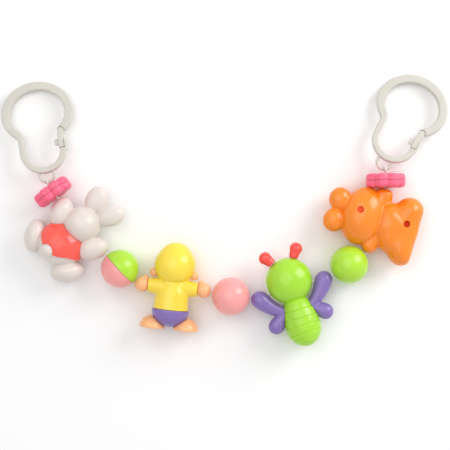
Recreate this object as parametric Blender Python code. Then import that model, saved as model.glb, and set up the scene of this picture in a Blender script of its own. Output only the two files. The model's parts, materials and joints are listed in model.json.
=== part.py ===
"""Pram chain toy: nine beads on an elastic cord between two hook clips, lying on its front."""

from math import atan2, ceil, cos, degrees, pi, radians, sin, sqrt

import bmesh
import bpy
from mathutils import Matrix, Vector

MM = 0.001

# Sizes that the rest follows
CORD_RADIUS = 0.75 * MM
BORE_RADIUS = 1.1 * MM
CLEARANCE = 0.3 * MM
WELD = 0.08 * MM
WALL = 1.8 * MM
BALL_RADIUS = 15.0 * MM
CORD_HEIGHT = BALL_RADIUS

DISC_THICKNESS = 10.9 * MM
DISC_LOBES = 8
LOBE_CENTRES = 0.8 * BALL_RADIUS
LOBE_RADIUS = BALL_RADIUS - LOBE_CENTRES * cos(pi / DISC_LOBES)
DISC_EDGE = 1.4 * MM
DISC_HUB = 3.6 * MM
DISC_HUB_DEPTH = 2.0 * MM

# How far each figure reaches along the cord, to either side of its middle
RABBIT_REACH = 29.0 * MM
CHILD_REACH = 30.6 * MM
BUG_REACH = 33.9 * MM
BEAR_REACH = 26.4 * MM

# Beads from left to right: name, half length, heading in degrees, gap to the next bead
BEADS = [
    ("left_disc", DISC_THICKNESS / 2, -53.0, 1.2 * MM),
    ("rabbit", RABBIT_REACH, -49.0, 1.0 * MM),
    ("two_tone_ball", BALL_RADIUS, -47.0, 1.4 * MM),
    ("child", CHILD_REACH, -6.0, 1.0 * MM),
    ("pink_ball", BALL_RADIUS, -14.5, 1.0 * MM),
    ("bug", BUG_REACH, 17.5, 1.0 * MM),
    ("green_ball", BALL_RADIUS, 32.5, 1.6 * MM),
    ("bear", BEAR_REACH, 73.5, 1.2 * MM),
    ("right_disc", DISC_THICKNESS / 2, 90.0, 0.0),
]

# Clip, with its cord eye at the origin and its big loop towards +Y
CLIP_THICKNESS = 5.5 * MM
CLIP_ROUNDING = 1.0 * MM
EYE_RADIUS = 5.7 * MM
EYE_WIRE_RADIUS = 1.2 * MM
LOOP_CENTRE = 50.4 * MM
LOOP_OUTER = (29.2 * MM, 26.6 * MM, 23.6 * MM)
LOOP_INNER = (22.4 * MM, 19.9 * MM, 18.5 * MM)
BOW_CENTRE = 21.2 * MM
BOW_OUTER = 18.6 * MM
BOW_INNER = 13.8 * MM
LEDGE_HEIGHT = 19.8 * MM
STOP_HEIGHT = 26.6 * MM
HINGE = (16.4 * MM, 34.0 * MM)
KNUCKLE_RADIUS = 2.6 * MM
PIN_RADIUS = 1.0 * MM
PIN_HOLE_RADIUS = 1.3 * MM
TONGUE_THICKNESS = 2.2 * MM

# The cord's pull through each clip's eye, and the clip's own heading, in degrees
CLIP_HEADINGS = {"left": (100.0, 100.0), "right": (96.0, 63.0)}

# The cord's end loops, and their hinges just off the outer face of each disc
CORD_LOOP_RADIUS = EYE_WIRE_RADIUS + CLEARANCE + CORD_RADIUS
HINGE_TO_DISC = 0.2 * MM
HINGE_TO_EYE_WIRE = CORD_LOOP_RADIUS + CORD_RADIUS + CLEARANCE / 2

COLOURS = {
    "clip_white": (0.86, 0.84, 0.80),
    "disc_pink": (1.0, 0.20, 0.32),
    "rabbit_white": (0.86, 0.80, 0.76),
    "vest_red": (1.0, 0.18, 0.12),
    "ball_green": (0.45, 0.84, 0.10),
    "ball_pink": (1.0, 0.36, 0.36),
    "hood_yellow": (1.0, 0.80, 0.08),
    "skin": (1.0, 0.54, 0.28),
    "purple": (0.25, 0.16, 0.48),
    "bug_green": (0.40, 0.76, 0.10),
    "face_cream": (0.92, 0.86, 0.72),
    "feeler_red": (1.0, 0.10, 0.08),
    "bear_orange": (1.0, 0.28, 0.03),
    "cord_clear": (0.90, 0.88, 0.86),
}

BACK = 1
FRONT = -1


def mm(*values):
    return tuple(value * MM for value in values)


def clear_scene():
    for item in list(bpy.data.objects):
        bpy.data.objects.remove(item)
    for item in list(bpy.data.collections):
        bpy.data.collections.remove(item)


def make_material(name, colour):
    material = bpy.data.materials.new(name)
    material.use_nodes = True
    shader = material.node_tree.nodes["Principled BSDF"]
    shader.inputs["Base Color"].default_value = (*colour, 1.0)
    shader.inputs["Roughness"].default_value = 0.25
    material.diffuse_color = (*colour, 1.0)
    return material


# Solids

def solid_object(vertices, faces):
    """A closed mesh with its faces turned outwards."""
    mesh = bpy.data.meshes.new("solid")
    mesh.from_pydata([tuple(v) for v in vertices], [], faces)
    edit = bmesh.new()
    edit.from_mesh(mesh)
    bmesh.ops.recalc_face_normals(edit, faces=edit.faces)
    edit.to_mesh(mesh)
    edit.free()
    made = bpy.data.objects.new("solid", mesh)
    bpy.context.scene.collection.objects.link(made)
    return made


def rings_solid(rings):
    """Joins rings of points with equal counts; a ring of one point closes an end."""
    vertices = []
    starts = []
    for ring in rings:
        starts.append(len(vertices))
        vertices.extend(ring)
    faces = []
    for low, high, start, after in zip(rings, rings[1:], starts, starts[1:]):
        count = max(len(low), len(high))
        for i in range(count):
            j = (i + 1) % count
            if len(low) == 1:
                faces.append((start, after + i, after + j))
            elif len(high) == 1:
                faces.append((start + i, start + j, after))
            else:
                faces.append((start + i, start + j, after + j, after + i))
    if len(rings[0]) > 1:
        faces.append(tuple(range(len(rings[0]))))
    if len(rings[-1]) > 1:
        faces.append(tuple(starts[-1] + i for i in range(len(rings[-1]))))
    return solid_object(vertices, faces)


def ellipsoid(centre, semi, turn=0.0, segments=14, rings=8):
    """Poles on the Z axis; turn is about Z, in degrees."""
    turned_by = Matrix.Rotation(radians(turn), 3, "Z")
    stack = []
    for k in range(rings + 1):
        polar = pi * k / rings
        around = [0.5] if k in (0, rings) else [i + 0.5 for i in range(segments)]
        ring = []
        for i in around:
            angle = 2 * pi * i / segments
            flat = sin(polar)
            point = Vector((semi[0] * flat * cos(angle), semi[1] * flat * sin(angle), 0))
            ring.append(Vector(centre) + turned_by @ point + Vector((0, 0, semi[2] * cos(polar))))
        stack.append(ring)
    return rings_solid(stack)


def tapered(path, sides=12, caps=(1.0, 1.0), cap_rings=3):
    """A bulb along a flat path of (x, y, z, half width, half height).

    A cap is as long as its share of the end's half width, and 0 leaves that end flat.
    """
    points = [Vector(p[:3]) for p in path]
    stack = []
    for k, (x, y, z, width, height) in enumerate(path):
        along = (points[min(k + 1, len(path) - 1)] - points[max(k - 1, 0)]).normalized()
        side = Vector((-along.y, along.x, 0))
        ring = []
        for i in range(sides):
            angle = 2 * pi * (i + 0.5) / sides
            ring.append(points[k] + side * width * cos(angle) + Vector((0, 0, height * sin(angle))))
        stack.append((ring, points[k], along, width))

    def cap(end, sign, share):
        ring, middle, along, width = end
        made = []
        for k in range(1, cap_rings):
            angle = pi / 2 * k / cap_rings
            shift = along * sign * share * width * sin(angle)
            made.append([middle + (point - middle) * cos(angle) + shift for point in ring])
        made.append([middle + along * sign * share * width])
        return made

    rings = [entry[0] for entry in stack]
    if caps[0]:
        rings = cap(stack[0], -1, caps[0])[::-1] + rings
    if caps[1]:
        rings = rings + cap(stack[-1], 1, caps[1])
    return rings_solid(rings)


def turned(profile, axis="Z", sides=18, squash=1.0):
    """Turns (radius, height) points about an axis; squash flattens it in Z."""
    rings = []
    for radius, height in profile:
        ring = []
        for i in range(1 if radius == 0 else sides):
            angle = 2 * pi * (i + 0.5) / sides
            u = radius * cos(angle)
            v = radius * sin(angle)
            if axis == "X":
                ring.append(Vector((height, u, v * squash)))
            elif axis == "Y":
                ring.append(Vector((u, height, v * squash)))
            else:
                ring.append(Vector((u, v, height)))
        rings.append(ring)
    return rings_solid(rings)


def rod(start, end, radius, sides=12):
    start = Vector(start)
    end = Vector(end)
    turn = (end - start).to_track_quat("Z", "Y")
    rings = []
    for middle in (start, end):
        ring = []
        for i in range(sides):
            angle = 2 * pi * (i + 0.5) / sides
            ring.append(middle + turn @ Vector((radius * cos(angle), radius * sin(angle), 0)))
        rings.append(ring)
    return rings_solid(rings)


def tube(path, radius, sides=8, closed=False):
    """A round wire along a path of points, with flat ends."""
    points = [Vector(p) for p in path]
    count = len(points)
    rings = []
    normal = None
    for k, point in enumerate(points):
        if closed:
            along = (points[(k + 1) % count] - points[k - 1]).normalized()
        else:
            along = (points[min(k + 1, count - 1)] - points[max(k - 1, 0)]).normalized()
        if normal is None:
            normal = along.orthogonal().normalized()
        normal = (normal - along * normal.dot(along)).normalized()
        across = along.cross(normal)
        ring = []
        for i in range(sides):
            angle = 2 * pi * (i + 0.5) / sides
            ring.append(point + radius * (normal * cos(angle) + across * sin(angle)))
        rings.append(ring)
    if not closed:
        return rings_solid(rings)
    vertices = [point for ring in rings for point in ring]
    faces = []
    for k in range(count):
        a = k * sides
        b = ((k + 1) % count) * sides
        for i in range(sides):
            j = (i + 1) % sides
            faces.append((a + i, a + j, b + j, b + i))
    return solid_object(vertices, faces)


def box(low, high):
    corners = [(x, y, z) for x in (low[0], high[0]) for y in (low[1], high[1]) for z in (low[2], high[2])]
    faces = [(0, 1, 3, 2), (4, 6, 7, 5), (0, 4, 5, 1), (2, 3, 7, 6), (0, 2, 6, 4), (1, 5, 7, 3)]
    return solid_object(corners, faces)


def prism(outline, low, high):
    return rings_solid([[Vector((x, y, z)) for x, y in outline] for z in (low, high)])


def rounded_plate(outline, thickness, rounding):
    """A flat plate round Z = 0 with rounded edges, from an anticlockwise outline."""
    half = thickness / 2
    levels = []
    for angle in (90, 0):
        back = rounding * (1 - cos(radians(angle)))
        rise = half - rounding * (1 - sin(radians(angle)))
        levels.append((back, rise))
    order = levels + [(back, -rise) for back, rise in levels[::-1]]
    rings = []
    for back, height in order:
        rings.append([Vector((x, y, height)) for x, y in inset(outline, back)])
    return rings_solid(rings)


def inset(outline, distance):
    """Moves each side of an anticlockwise outline inwards."""
    moved = []
    count = len(outline)
    for i in range(count):
        before = Vector(outline[i]) - Vector(outline[i - 1])
        after = Vector(outline[(i + 1) % count]) - Vector(outline[i])
        before.normalize()
        after.normalize()
        normal = Vector((-before.y - after.y, before.x + after.x))
        normal.normalize()
        lean = max(0.5, normal.dot(Vector((-before.y, before.x))))
        point = Vector(outline[i]) + normal * (distance / lean)
        moved.append((point.x, point.y))
    return moved


def weld(mesh):
    """Merges the slivers that a Boolean leaves."""
    bm = bmesh.new()
    bm.from_mesh(mesh)
    bmesh.ops.remove_doubles(bm, verts=bm.verts[:], dist=WELD)
    bmesh.ops.dissolve_degenerate(bm, edges=bm.edges[:], dist=WELD)
    bm.to_mesh(mesh)
    bm.free()


def combine(base, others, operation):
    """Runs one exact Boolean per helper, keeps the result and removes the helpers."""
    for other in others:
        step = base.modifiers.new("step", "BOOLEAN")
        step.operation = operation
        step.solver = "EXACT"
        step.object = other
        graph = bpy.context.evaluated_depsgraph_get()
        mesh = bpy.data.meshes.new_from_object(base.evaluated_get(graph))
        base.modifiers.clear()
        weld(mesh)
        base.data = mesh
        bpy.data.objects.remove(other)
    return base


def join(*pieces):
    return combine(pieces[0], pieces[1:], "UNION")


def cut(base, *tools):
    return combine(base, tools, "DIFFERENCE")


def keep_side(base, side, gap=CLEARANCE):
    """Keeps what lies behind or in front of the plane that the two mouldings meet at."""
    reach = 80 * MM
    low, high = (gap / 2, reach) if side == BACK else (-reach, -gap / 2)
    return combine(base, [box((-reach, -reach, low), (reach, reach, high))], "INTERSECT")


def bore(radius=BORE_RADIUS):
    return rod((-60 * MM, 0, 0), (60 * MM, 0, 0), radius, 8)


def finish(piece, name, material, parent, round_edges=35.0):
    piece.name = name
    piece.data.name = name
    edit = bmesh.new()
    edit.from_mesh(piece.data)
    bmesh.ops.remove_doubles(edit, verts=edit.verts, dist=0.004 * MM)
    bmesh.ops.dissolve_degenerate(edit, dist=0.004 * MM, edges=edit.edges)
    edit.to_mesh(piece.data)
    edit.free()
    piece.data.materials.clear()
    piece.data.materials.append(MATERIALS[material])
    piece.data.shade_smooth()
    piece.data.set_sharp_from_angle(angle=radians(round_edges))
    bpy.context.scene.collection.objects.unlink(piece)
    TOY.objects.link(piece)
    piece.parent = parent
    return piece


# Balls and discs

def half_ball(axis, side, lipped):
    """One half of a hollow ball; the lipped half has a rim that enters the other."""
    outer = BALL_RADIUS
    inner = BALL_RADIUS - WALL
    seam = CLEARANCE / 2
    lip_outer = inner + 0.42 * WALL
    recess = lip_outer + CLEARANCE
    lip = 0.6 * WALL
    profile = [(0.0, outer)]
    for angle in (60, 30):
        profile.append((outer * cos(radians(angle)), outer * sin(radians(angle))))
    profile.append((sqrt(outer ** 2 - seam ** 2), seam))
    if lipped:
        profile += [(lip_outer, seam), (lip_outer, -lip), (inner, -lip)]
        profile += [(inner, seam)]
    else:
        profile += [(recess, seam), (recess, lip + CLEARANCE)]
        profile += [(sqrt(inner ** 2 - (lip + CLEARANCE) ** 2), lip + CLEARANCE)]
    for angle in (44,):
        profile.append((inner * cos(radians(angle)), inner * sin(radians(angle))))
    profile.append((0.0, inner))
    if side == FRONT:
        profile = [(radius, -height) for radius, height in profile]
    return cut(turned(profile, axis, 12), bore())


def build_balls(pivots):
    pairs = [
        ("two_tone_ball", "Y", "green_half", "ball_green", "pink_half", "ball_pink"),
        ("pink_ball", "Z", "back_half", "ball_pink", "front_half", "ball_pink"),
        ("green_ball", "Z", "back_half", "ball_green", "front_half", "ball_green"),
    ]
    for bead, axis, first, first_colour, second, second_colour in pairs:
        finish(half_ball(axis, BACK, True), f"{bead}_{first}", first_colour, pivots[bead])
        finish(half_ball(axis, FRONT, False), f"{bead}_{second}", second_colour, pivots[bead])


def lobed_outline(shrink):
    """The disc's edge, with two lobes sharing its lowest line."""
    points = []
    step = 2 * pi / DISC_LOBES
    half_gap = LOBE_CENTRES * sin(step / 2)
    valley = LOBE_CENTRES * cos(step / 2) + sqrt(LOBE_RADIUS ** 2 - min(half_gap, 0.96 * LOBE_RADIUS) ** 2)
    spread = atan2(valley * sin(step / 2), valley * cos(step / 2) - LOBE_CENTRES)
    for lobe in range(DISC_LOBES):
        middle = (lobe + 0.5) * step
        valley_angle = middle - step / 2
        dip = valley - shrink
        points.append(Vector((cos(valley_angle), sin(valley_angle))) * dip)
        centre = Vector((cos(middle), sin(middle))) * LOBE_CENTRES
        for share in (-0.58, 0.0, 0.58):
            angle = middle + share * spread
            points.append(centre + Vector((cos(angle), sin(angle))) * (LOBE_RADIUS - shrink))
    return points


def half_disc(side):
    """side +1 is the half towards the next bead on the right."""
    seam = CLEARANCE / 2
    face = DISC_THICKNESS / 2
    rings = []
    for x, shrink in ((seam, 0), (face - DISC_EDGE, 0), (face, DISC_EDGE)):
        rings.append([Vector((side * x, p.x, p.y)) for p in lobed_outline(shrink)])
    body = rings_solid(rings)
    depth = face - WALL
    rim = LOBE_CENTRES + LOBE_RADIUS - 2.4 * WALL
    hub = DISC_HUB + WALL * 0.7
    hollow = turned_ring([(hub, -MM), (rim, -MM), (rim, depth), (hub, depth)], side)
    recess = rod((side * (face - DISC_HUB_DEPTH), 0, 0), (side * (face + DISC_HUB_DEPTH), 0, 0), DISC_HUB, 8)
    return cut(body, hollow, recess, bore())


def turned_ring(profile, side, sides=8):
    """A closed ring about X from (radius, x) points."""
    vertices = []
    for i in range(sides):
        angle = 2 * pi * (i + 0.5) / sides
        for radius, x in profile:
            vertices.append((side * x, radius * cos(angle), radius * sin(angle)))
    faces = []
    count = len(profile)
    for i in range(sides):
        j = (i + 1) % sides
        for k in range(count):
            m = (k + 1) % count
            faces.append((i * count + k, i * count + m, j * count + m, j * count + k))
    return solid_object(vertices, faces)


def build_discs(pivots):
    for bead, outer in (("left_disc", -1), ("right_disc", 1)):
        finish(half_disc(outer), f"{bead}_outer_half", "disc_pink", pivots[bead], 50.0)
        finish(half_disc(-outer), f"{bead}_inner_half", "disc_pink", pivots[bead], 50.0)


# Figures. Each is drawn in units that make it as long as its reach, and lumps are grown by walls and gaps

RABBIT = RABBIT_REACH / 29.0
CHILD = CHILD_REACH / 30.6
BUG = BUG_REACH / 33.9
BEAR = BEAR_REACH / 26.4


def lump(unit, centre, semi, lean=0.0, grow=0.0, detail=(12, 6)):
    size = [value * unit + grow for value in semi]
    return ellipsoid([value * unit for value in centre], size, lean, *detail)


def limb(unit, path, end, detail=12, cap_rings=3, first=0.0):
    """A bulb along (x, y, half width, half height) points, flat at its start."""
    points = [(x * unit, y * unit, 0.0, width * unit, height * unit) for x, y, width, height in path]
    return tapered(points, detail, (first, end), cap_rings)


def slab(unit, low, high):
    return box([value * unit for value in low], [value * unit for value in high])


def peg(unit, start, end, radius, sides=8):
    return rod([value * unit for value in start], [value * unit for value in end], radius, sides)


# Rabbit

RABBIT_TORSO = ((0, -23, 0), (18, 17, 13.5), 0, (12, 6))
RABBIT_HEAD = ((-1, 0.7, 0), (14.6, 14.6, 14.6), 0, (14, 6))
RABBIT_TAIL = ((-2.5, -31.4, 9.5), (5.9, 5.9, 5.4), 0, (8, 6))
VEST_OUTLINE = [
    (-24, -19.5), (-24, -10), (-14, 0), (14, 0), (24, -10), (24, -20.5), (18, -20.5),
    (14.2, -22.8), (9.5, -26.5), (5.4, -29.9), (0.7, -31.8), (-4.4, -32.2), (-9.0, -31.4),
    (-13.2, -29.5), (-16.6, -26.1), (-18.5, -21.3),
]


def rabbit_arms():
    return [((side * 18.9, -5.5, 0), (12.7, 9.2, 9), 90 - side * 28, (8, 6)) for side in (-1, 1)]


def rabbit_ears():
    return [((side * 8.4, 22, 0), (11.4, 8.4, 5.5), 90 - side * 23, (10, 4)) for side in (-1, 1)]


def rabbit_feet():
    return [((side * 19, -33, -3), (13.4, 8.6, 11.5), 90 - side * 35, (8, 6)) for side in (-1, 1)]


def make_lumps(unit, shapes, grow=0.0, detail=None):
    made = []
    for centre, semi, lean, own in shapes:
        made.append(lump(unit, centre, semi, lean, grow, detail or own))
    return made


def build_rabbit(pivot):
    limbs = [RABBIT_HEAD, *rabbit_arms(), *rabbit_ears(), *rabbit_feet()]
    for side, name in ((BACK, "back"), (FRONT, "front")):
        body = join(*make_lumps(RABBIT, [RABBIT_TORSO, *limbs]))
        if side == BACK:
            body = join(body, *make_lumps(RABBIT, [RABBIT_TAIL]))
        else:
            body = join(body, lump(RABBIT, (-1, -2.0, -13.2), (2.6, 2.0, 1.7), 0, 0, (6, 4)))
        hollow = join(*make_lumps(RABBIT, [RABBIT_TORSO, RABBIT_HEAD], -WALL, (8, 4)))
        hollow = join(hollow, *make_lumps(RABBIT, limbs[1:], -WALL, (6, 4)))
        body = keep_side(body, side)
        finish(cut(body, hollow, bore()), f"rabbit_{name}_shell", "rabbit_white", pivot)

        outer, inner = make_lumps(RABBIT, [RABBIT_TORSO], 1.2 * MM)[0], make_lumps(RABBIT, [RABBIT_TORSO], CLEARANCE)[0]
        vest = cut(outer, inner)
        outline = [(x * RABBIT, y * RABBIT) for x, y in VEST_OUTLINE[::-1]]
        low, high = (2, 30) if side == BACK else (-30, -2)
        vest = combine(vest, [prism(outline, low * RABBIT, high * RABBIT)], "INTERSECT")
        around = [RABBIT_HEAD, *rabbit_arms(), *rabbit_feet()]
        if side == BACK:
            around.append(RABBIT_TAIL)
        vest = cut(vest, *make_lumps(RABBIT, around, CLEARANCE))
        finish(vest, f"rabbit_{name}_vest", "vest_red", pivot)


# Child

CHILD_HOOD = ((0, 17.6, 0), (16.3, 16.0, 14.7), 0, (14, 6))
CHILD_PEAK = ((0, 28.6, 0), (8.6, 7.0, 7.6), 0, (8, 6))
CHILD_PANTS = ((0, -18, 0), (14.7, 13.4, 12.5), 0, (12, 6))
SHIRT_HEM = -17.4
SLEEVE_END = 19.4
EAR_HEIGHT = 10.6
SOLE = -33.3


def child_torso(grow, low, sides=12):
    """The shirt's body, upright along Y."""
    profile = [(8.0, 4.0), (13.0, 1.0), (13.3, -8.0), (14.0, low)]
    points = [(radius * CHILD + grow, height * CHILD) for radius, height in profile]
    points = [(0.0, points[0][1])] + points + [(0.0, points[-1][1])]
    return turned(points, "Y", sides, 0.84)


def child_ears(grow, detail=(8, 4)):
    """Two ears, and the bar across the face that carries them."""
    bar = 1.5 * CHILD + grow
    height = EAR_HEIGHT * CHILD
    wide = 16 * CHILD
    parts = [box((-wide, height - bar, -5.5 * CHILD - grow), (wide, height + bar, 1.5 * CHILD + grow))]
    for side in (-1, 1):
        parts.append(lump(CHILD, (side * 15.9, EAR_HEIGHT, 0), (3.5, 3.5, 3.5), 0, grow, detail))
    return parts


def build_child(pivot):
    for side, name in ((BACK, "back"), (FRONT, "front")):
        body = join(*make_lumps(CHILD, [CHILD_HOOD, CHILD_PEAK]), child_torso(0, SHIRT_HEM))
        for hand in (-1, 1):
            sleeve = [(hand * 8, 0, 7.4, 7.4), (hand * SLEEVE_END, 0, 5.2, 5.2)]
            body = join(body, limb(CHILD, sleeve, 0, 8))
        body = keep_side(body, side)
        hollow = join(lump(CHILD, *CHILD_HOOD[:2], 0, -WALL, (12, 6)), child_torso(-1.2 * WALL, SHIRT_HEM - 1.6, 8))
        body = cut(body, hollow, *child_ears(CLEARANCE), bore())
        for hand in (-1, 1):
            body = cut(body, peg(CHILD, (hand * 14.0, 0, 0), (hand * 21.0, 0, 0), 2.5 * CHILD + CLEARANCE, 8))
        if side == FRONT:
            opening = [(0, 13.6, 10, 9), (0, 21, 10, 9)]
            window = limb(CHILD, opening, 1.0, 12, 2, 1.0)
            window.data.transform(Matrix.Translation((0, 0, -14 * CHILD)))
            body = cut(body, window)
        finish(body, f"child_{name}_shell", "hood_yellow", pivot)

    face = lump(CHILD, (0, 17.6, 0), (13.8, 13.7, 12.5), 0, 0, (12, 6))
    face = combine(face, [slab(CHILD, (-30, -30, -30), (30, 60, -4))], "INTERSECT")
    face = join(face, *child_ears(0))
    face = join(face, lump(CHILD, (0, 15.0, -12.4), (1.8, 1.5, 1.6), 0, 0, (6, 4)))
    for side in (-1, 1):
        face = cut(face, lump(CHILD, (side * 4.6, 18.0, -13.0), (1.2, 1.7, 1.4), 0, 0, (6, 4)))
    finish(face, "child_face", "skin", pivot)

    for side, name in ((-1, "left"), (1, "right")):
        hand = lump(CHILD, (side * 24.6, 0, 0), (6, 6, 6), 0, 0, (8, 6))
        hand = join(hand, lump(CHILD, (side * 22.2, 5.2, 0), (2.6, 2.6, 2.8), 0, 0, (6, 4)))
        wrist = side * SLEEVE_END * CHILD + side * CLEARANCE
        far = side * 40 * CHILD
        edge = 20 * CHILD
        hand = combine(hand, [box((min(wrist, far), -edge, -edge), (max(wrist, far), edge, edge))], "INTERSECT")
        hand = join(hand, peg(CHILD, (side * 14.6, 0, 0), (side * 22, 0, 0), 2.5 * CHILD, 8))
        finish(cut(hand, bore()), f"child_{name}_hand", "skin", pivot)

    pants = make_lumps(CHILD, [CHILD_PANTS])[0]
    waist = SHIRT_HEM * CHILD - CLEARANCE
    deep = 60 * CHILD
    pants = combine(pants, [box((-deep, -deep, -deep), (deep, waist, deep))], "INTERSECT")
    plug = [(0, -20), (11.0, -20), (11.0, -13.5), (0, -13.5)]
    pants = join(pants, turned([(r * CHILD, h * CHILD) for r, h in plug], "Y", 8, 0.84))
    hollow = [(0, -27), (7, -26), (9.4, -19), (9.4, -10), (0, -10)]
    pants = cut(pants, turned([(r * CHILD, h * CHILD) for r, h in hollow], "Y", 8, 0.84))
    for side in (-1, 1):
        pants = cut(pants, peg(CHILD, (side * 6.5, -25.5, -1), (side * 16, -33, -1), 1.8 * CHILD + CLEARANCE))
    finish(pants, "child_pants", "purple", pivot)

    for side, name in ((-1, "left"), (1, "right")):
        foot = lump(CHILD, (side * 13.4, -33.3, -3), (10.2, 9.8, 11.5), 0, 0, (12, 6))
        foot = combine(foot, [slab(CHILD, (-40, SOLE, -30), (40, 0, 30))], "INTERSECT")
        foot = cut(foot, *make_lumps(CHILD, [CHILD_PANTS], CLEARANCE))
        foot = join(foot, peg(CHILD, (side * 7.3, -26.1, -1), (side * 12.5, -30.2, -1), 1.8 * CHILD))
        finish(foot, f"child_{name}_foot", "skin", pivot)


# Bug

BUG_HEAD = ((0, 6, 0), (18.3, 18.3, 14.8), 0, (14, 6))
BUG_FACE = ((-0.6, 6.3, 0), (18.6, 18.6, 14.8), 0, (14, 6))
ABDOMEN = [
    (0, -2), (5, -3), (9.0, -10), (10.6, -14), (12.4, -20), (13.7, -26),
    (14.1, -31), (13.3, -37), (11.2, -42), (7.2, -46), (0, -48.2),
]
GROOVES = (-17.0, -23.5, -29.8, -36.0, -41.0)


def bug_abdomen(grow, sides=10):
    """The ringed body; grown or shrunk copies have no grooves."""
    points = [(radius * BUG + (grow if radius else 0), height * BUG) for radius, height in ABDOMEN]
    if grow:
        points[-1] = (0.0, points[-1][1] - grow)
        return turned(points, "Y", sides, 0.93)
    grooved = list(points)
    for height in GROOVES:
        y = height * BUG
        for (r0, y0), (r1, y1) in zip(points, points[1:]):
            if y1 <= y < y0:
                radius = r0 + (r1 - r0) * (y0 - y) / (y0 - y1)
                grooved += [(radius, y + 0.4 * BUG), (radius - 0.55 * BUG, y), (radius, y - 0.4 * BUG)]
    grooved.sort(key=lambda point: -point[1])
    return turned(grooved, "Y", sides, 0.93)


def bug_pegs(radius):
    pegs = []
    for side in (-1, 1):
        pegs.append(peg(BUG, (side * 5.6, 17.0, 0), (side * 11.0, 26.0, 0), radius))
        pegs.append(peg(BUG, (side * 5.0, -17.5, 0), (side * 16.0, -17.5, 0), radius))
    return pegs


def build_bug(pivot):
    hole = 1.8 * BUG + CLEARANCE
    back = keep_side(join(*make_lumps(BUG, [BUG_HEAD]), bug_abdomen(0)), BACK)
    hollow = join(*make_lumps(BUG, [BUG_HEAD], -WALL, (8, 4)), bug_abdomen(-1.3 * WALL, 8))
    finish(cut(back, hollow, bore(), *bug_pegs(hole)), "bug_back_shell", "bug_green", pivot)

    front = keep_side(bug_abdomen(0), FRONT)
    front = cut(front, bug_abdomen(-1.3 * WALL, 8), *make_lumps(BUG, [BUG_FACE], CLEARANCE), *bug_pegs(hole))
    finish(front, "bug_front_shell", "bug_green", pivot)

    face = keep_side(make_lumps(BUG, [BUG_FACE])[0], FRONT)
    face = cut(face, *make_lumps(BUG, [BUG_FACE], -WALL, (8, 4)), bore(), *bug_pegs(hole))
    for side in (-1, 1):
        face = cut(face, lump(BUG, (side * 5.4, 9.5, -14.2), (1.8, 2.4, 1.6), 0, 0, (6, 4)))
    finish(face, "bug_face", "face_cream", pivot)

    for side, name in ((-1, "left"), (1, "right")):
        upper = [(10.5, -17.5, 4.2, 4.6), (16.5, -13.2, 4.6, 5.0), (22.5, -7.8, 6.0, 5.8), (26.8, -1.7, 7.0, 6.2)]
        lower = [(10.5, -17.8, 4.0, 4.6), (16.0, -21.8, 4.6, 5.0), (20.4, -25.6, 6.2, 5.6)]
        parts = []
        for path, end in ((upper, 0.97), (lower, 1.0)):
            parts.append(limb(BUG, [(side * x, y, w, h) for x, y, w, h in path], end, 8))
        wing = join(*parts)
        wing = cut(wing, *make_lumps(BUG, [BUG_HEAD, BUG_FACE], CLEARANCE), bug_abdomen(CLEARANCE))
        wing = join(wing, peg(BUG, (side * 8.0, -17.5, 0), (side * 16.0, -17.5, 0), 1.8 * BUG))
        finish(cut(wing, bore()), f"bug_{name}_wing", "purple", pivot)

    for side, name in ((-1, "left"), (1, "right")):
        path = [(side * 7.6, 20.6, 2.7, 2.7), (side * 9.6, 24.0, 3.5, 3.5), (side * 12.7, 28.6, 5.1, 5.0)]
        feeler = limb(BUG, path, 1.0, 8)
        feeler = cut(feeler, *make_lumps(BUG, [BUG_HEAD, BUG_FACE], CLEARANCE))
        feeler = join(feeler, peg(BUG, (side * 6.5, 18.5, 0), (side * 10.1, 24.5, 0), 1.8 * BUG))
        finish(feeler, f"bug_{name}_feeler", "feeler_red", pivot)


# Bear

# Each post: x, y, foot inside the front wall, top
POSTS = ((4.7, 15.6, -13.4, 11.4), (4.1, -22.6, -10.4, 5.4))
BEAR_SOLE = -33.6
BEAR_LUMPS = [
    ((0.9, 11.2, 0), (23.4, 17.0, 14.7), 0, (14, 6)),
    ((-0.3, -13.2, 0), (17.0, 15.2, 12.8), 0, (10, 6)),
    ((-2.2, -25.3, 0), (18.0, 10.6, 11.2), 0, (8, 4)),
    ((-16.3, -24.6, 0), (13.7, 9.8, 11.7), 28, (10, 6)),
    ((14.4, -23.5, 0), (11.3, 11.3, 11.8), 0, (10, 6)),
]
BEAR_EARS = [((side * 8.6, 32.0, 0), (9.6, 9.0, 7.0), 0, (10, 4)) for side in (-1, 1)]
BEAR_ARM = [(5, -6.4, 6.0, 6.0), (14, -4.6, 6.4, 6.2), (20.0, -1.2, 6.8, 6.7), (23.7, -0.2, 4.7, 4.7)]
HAND_CAP = 2.7 / 4.7


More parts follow.
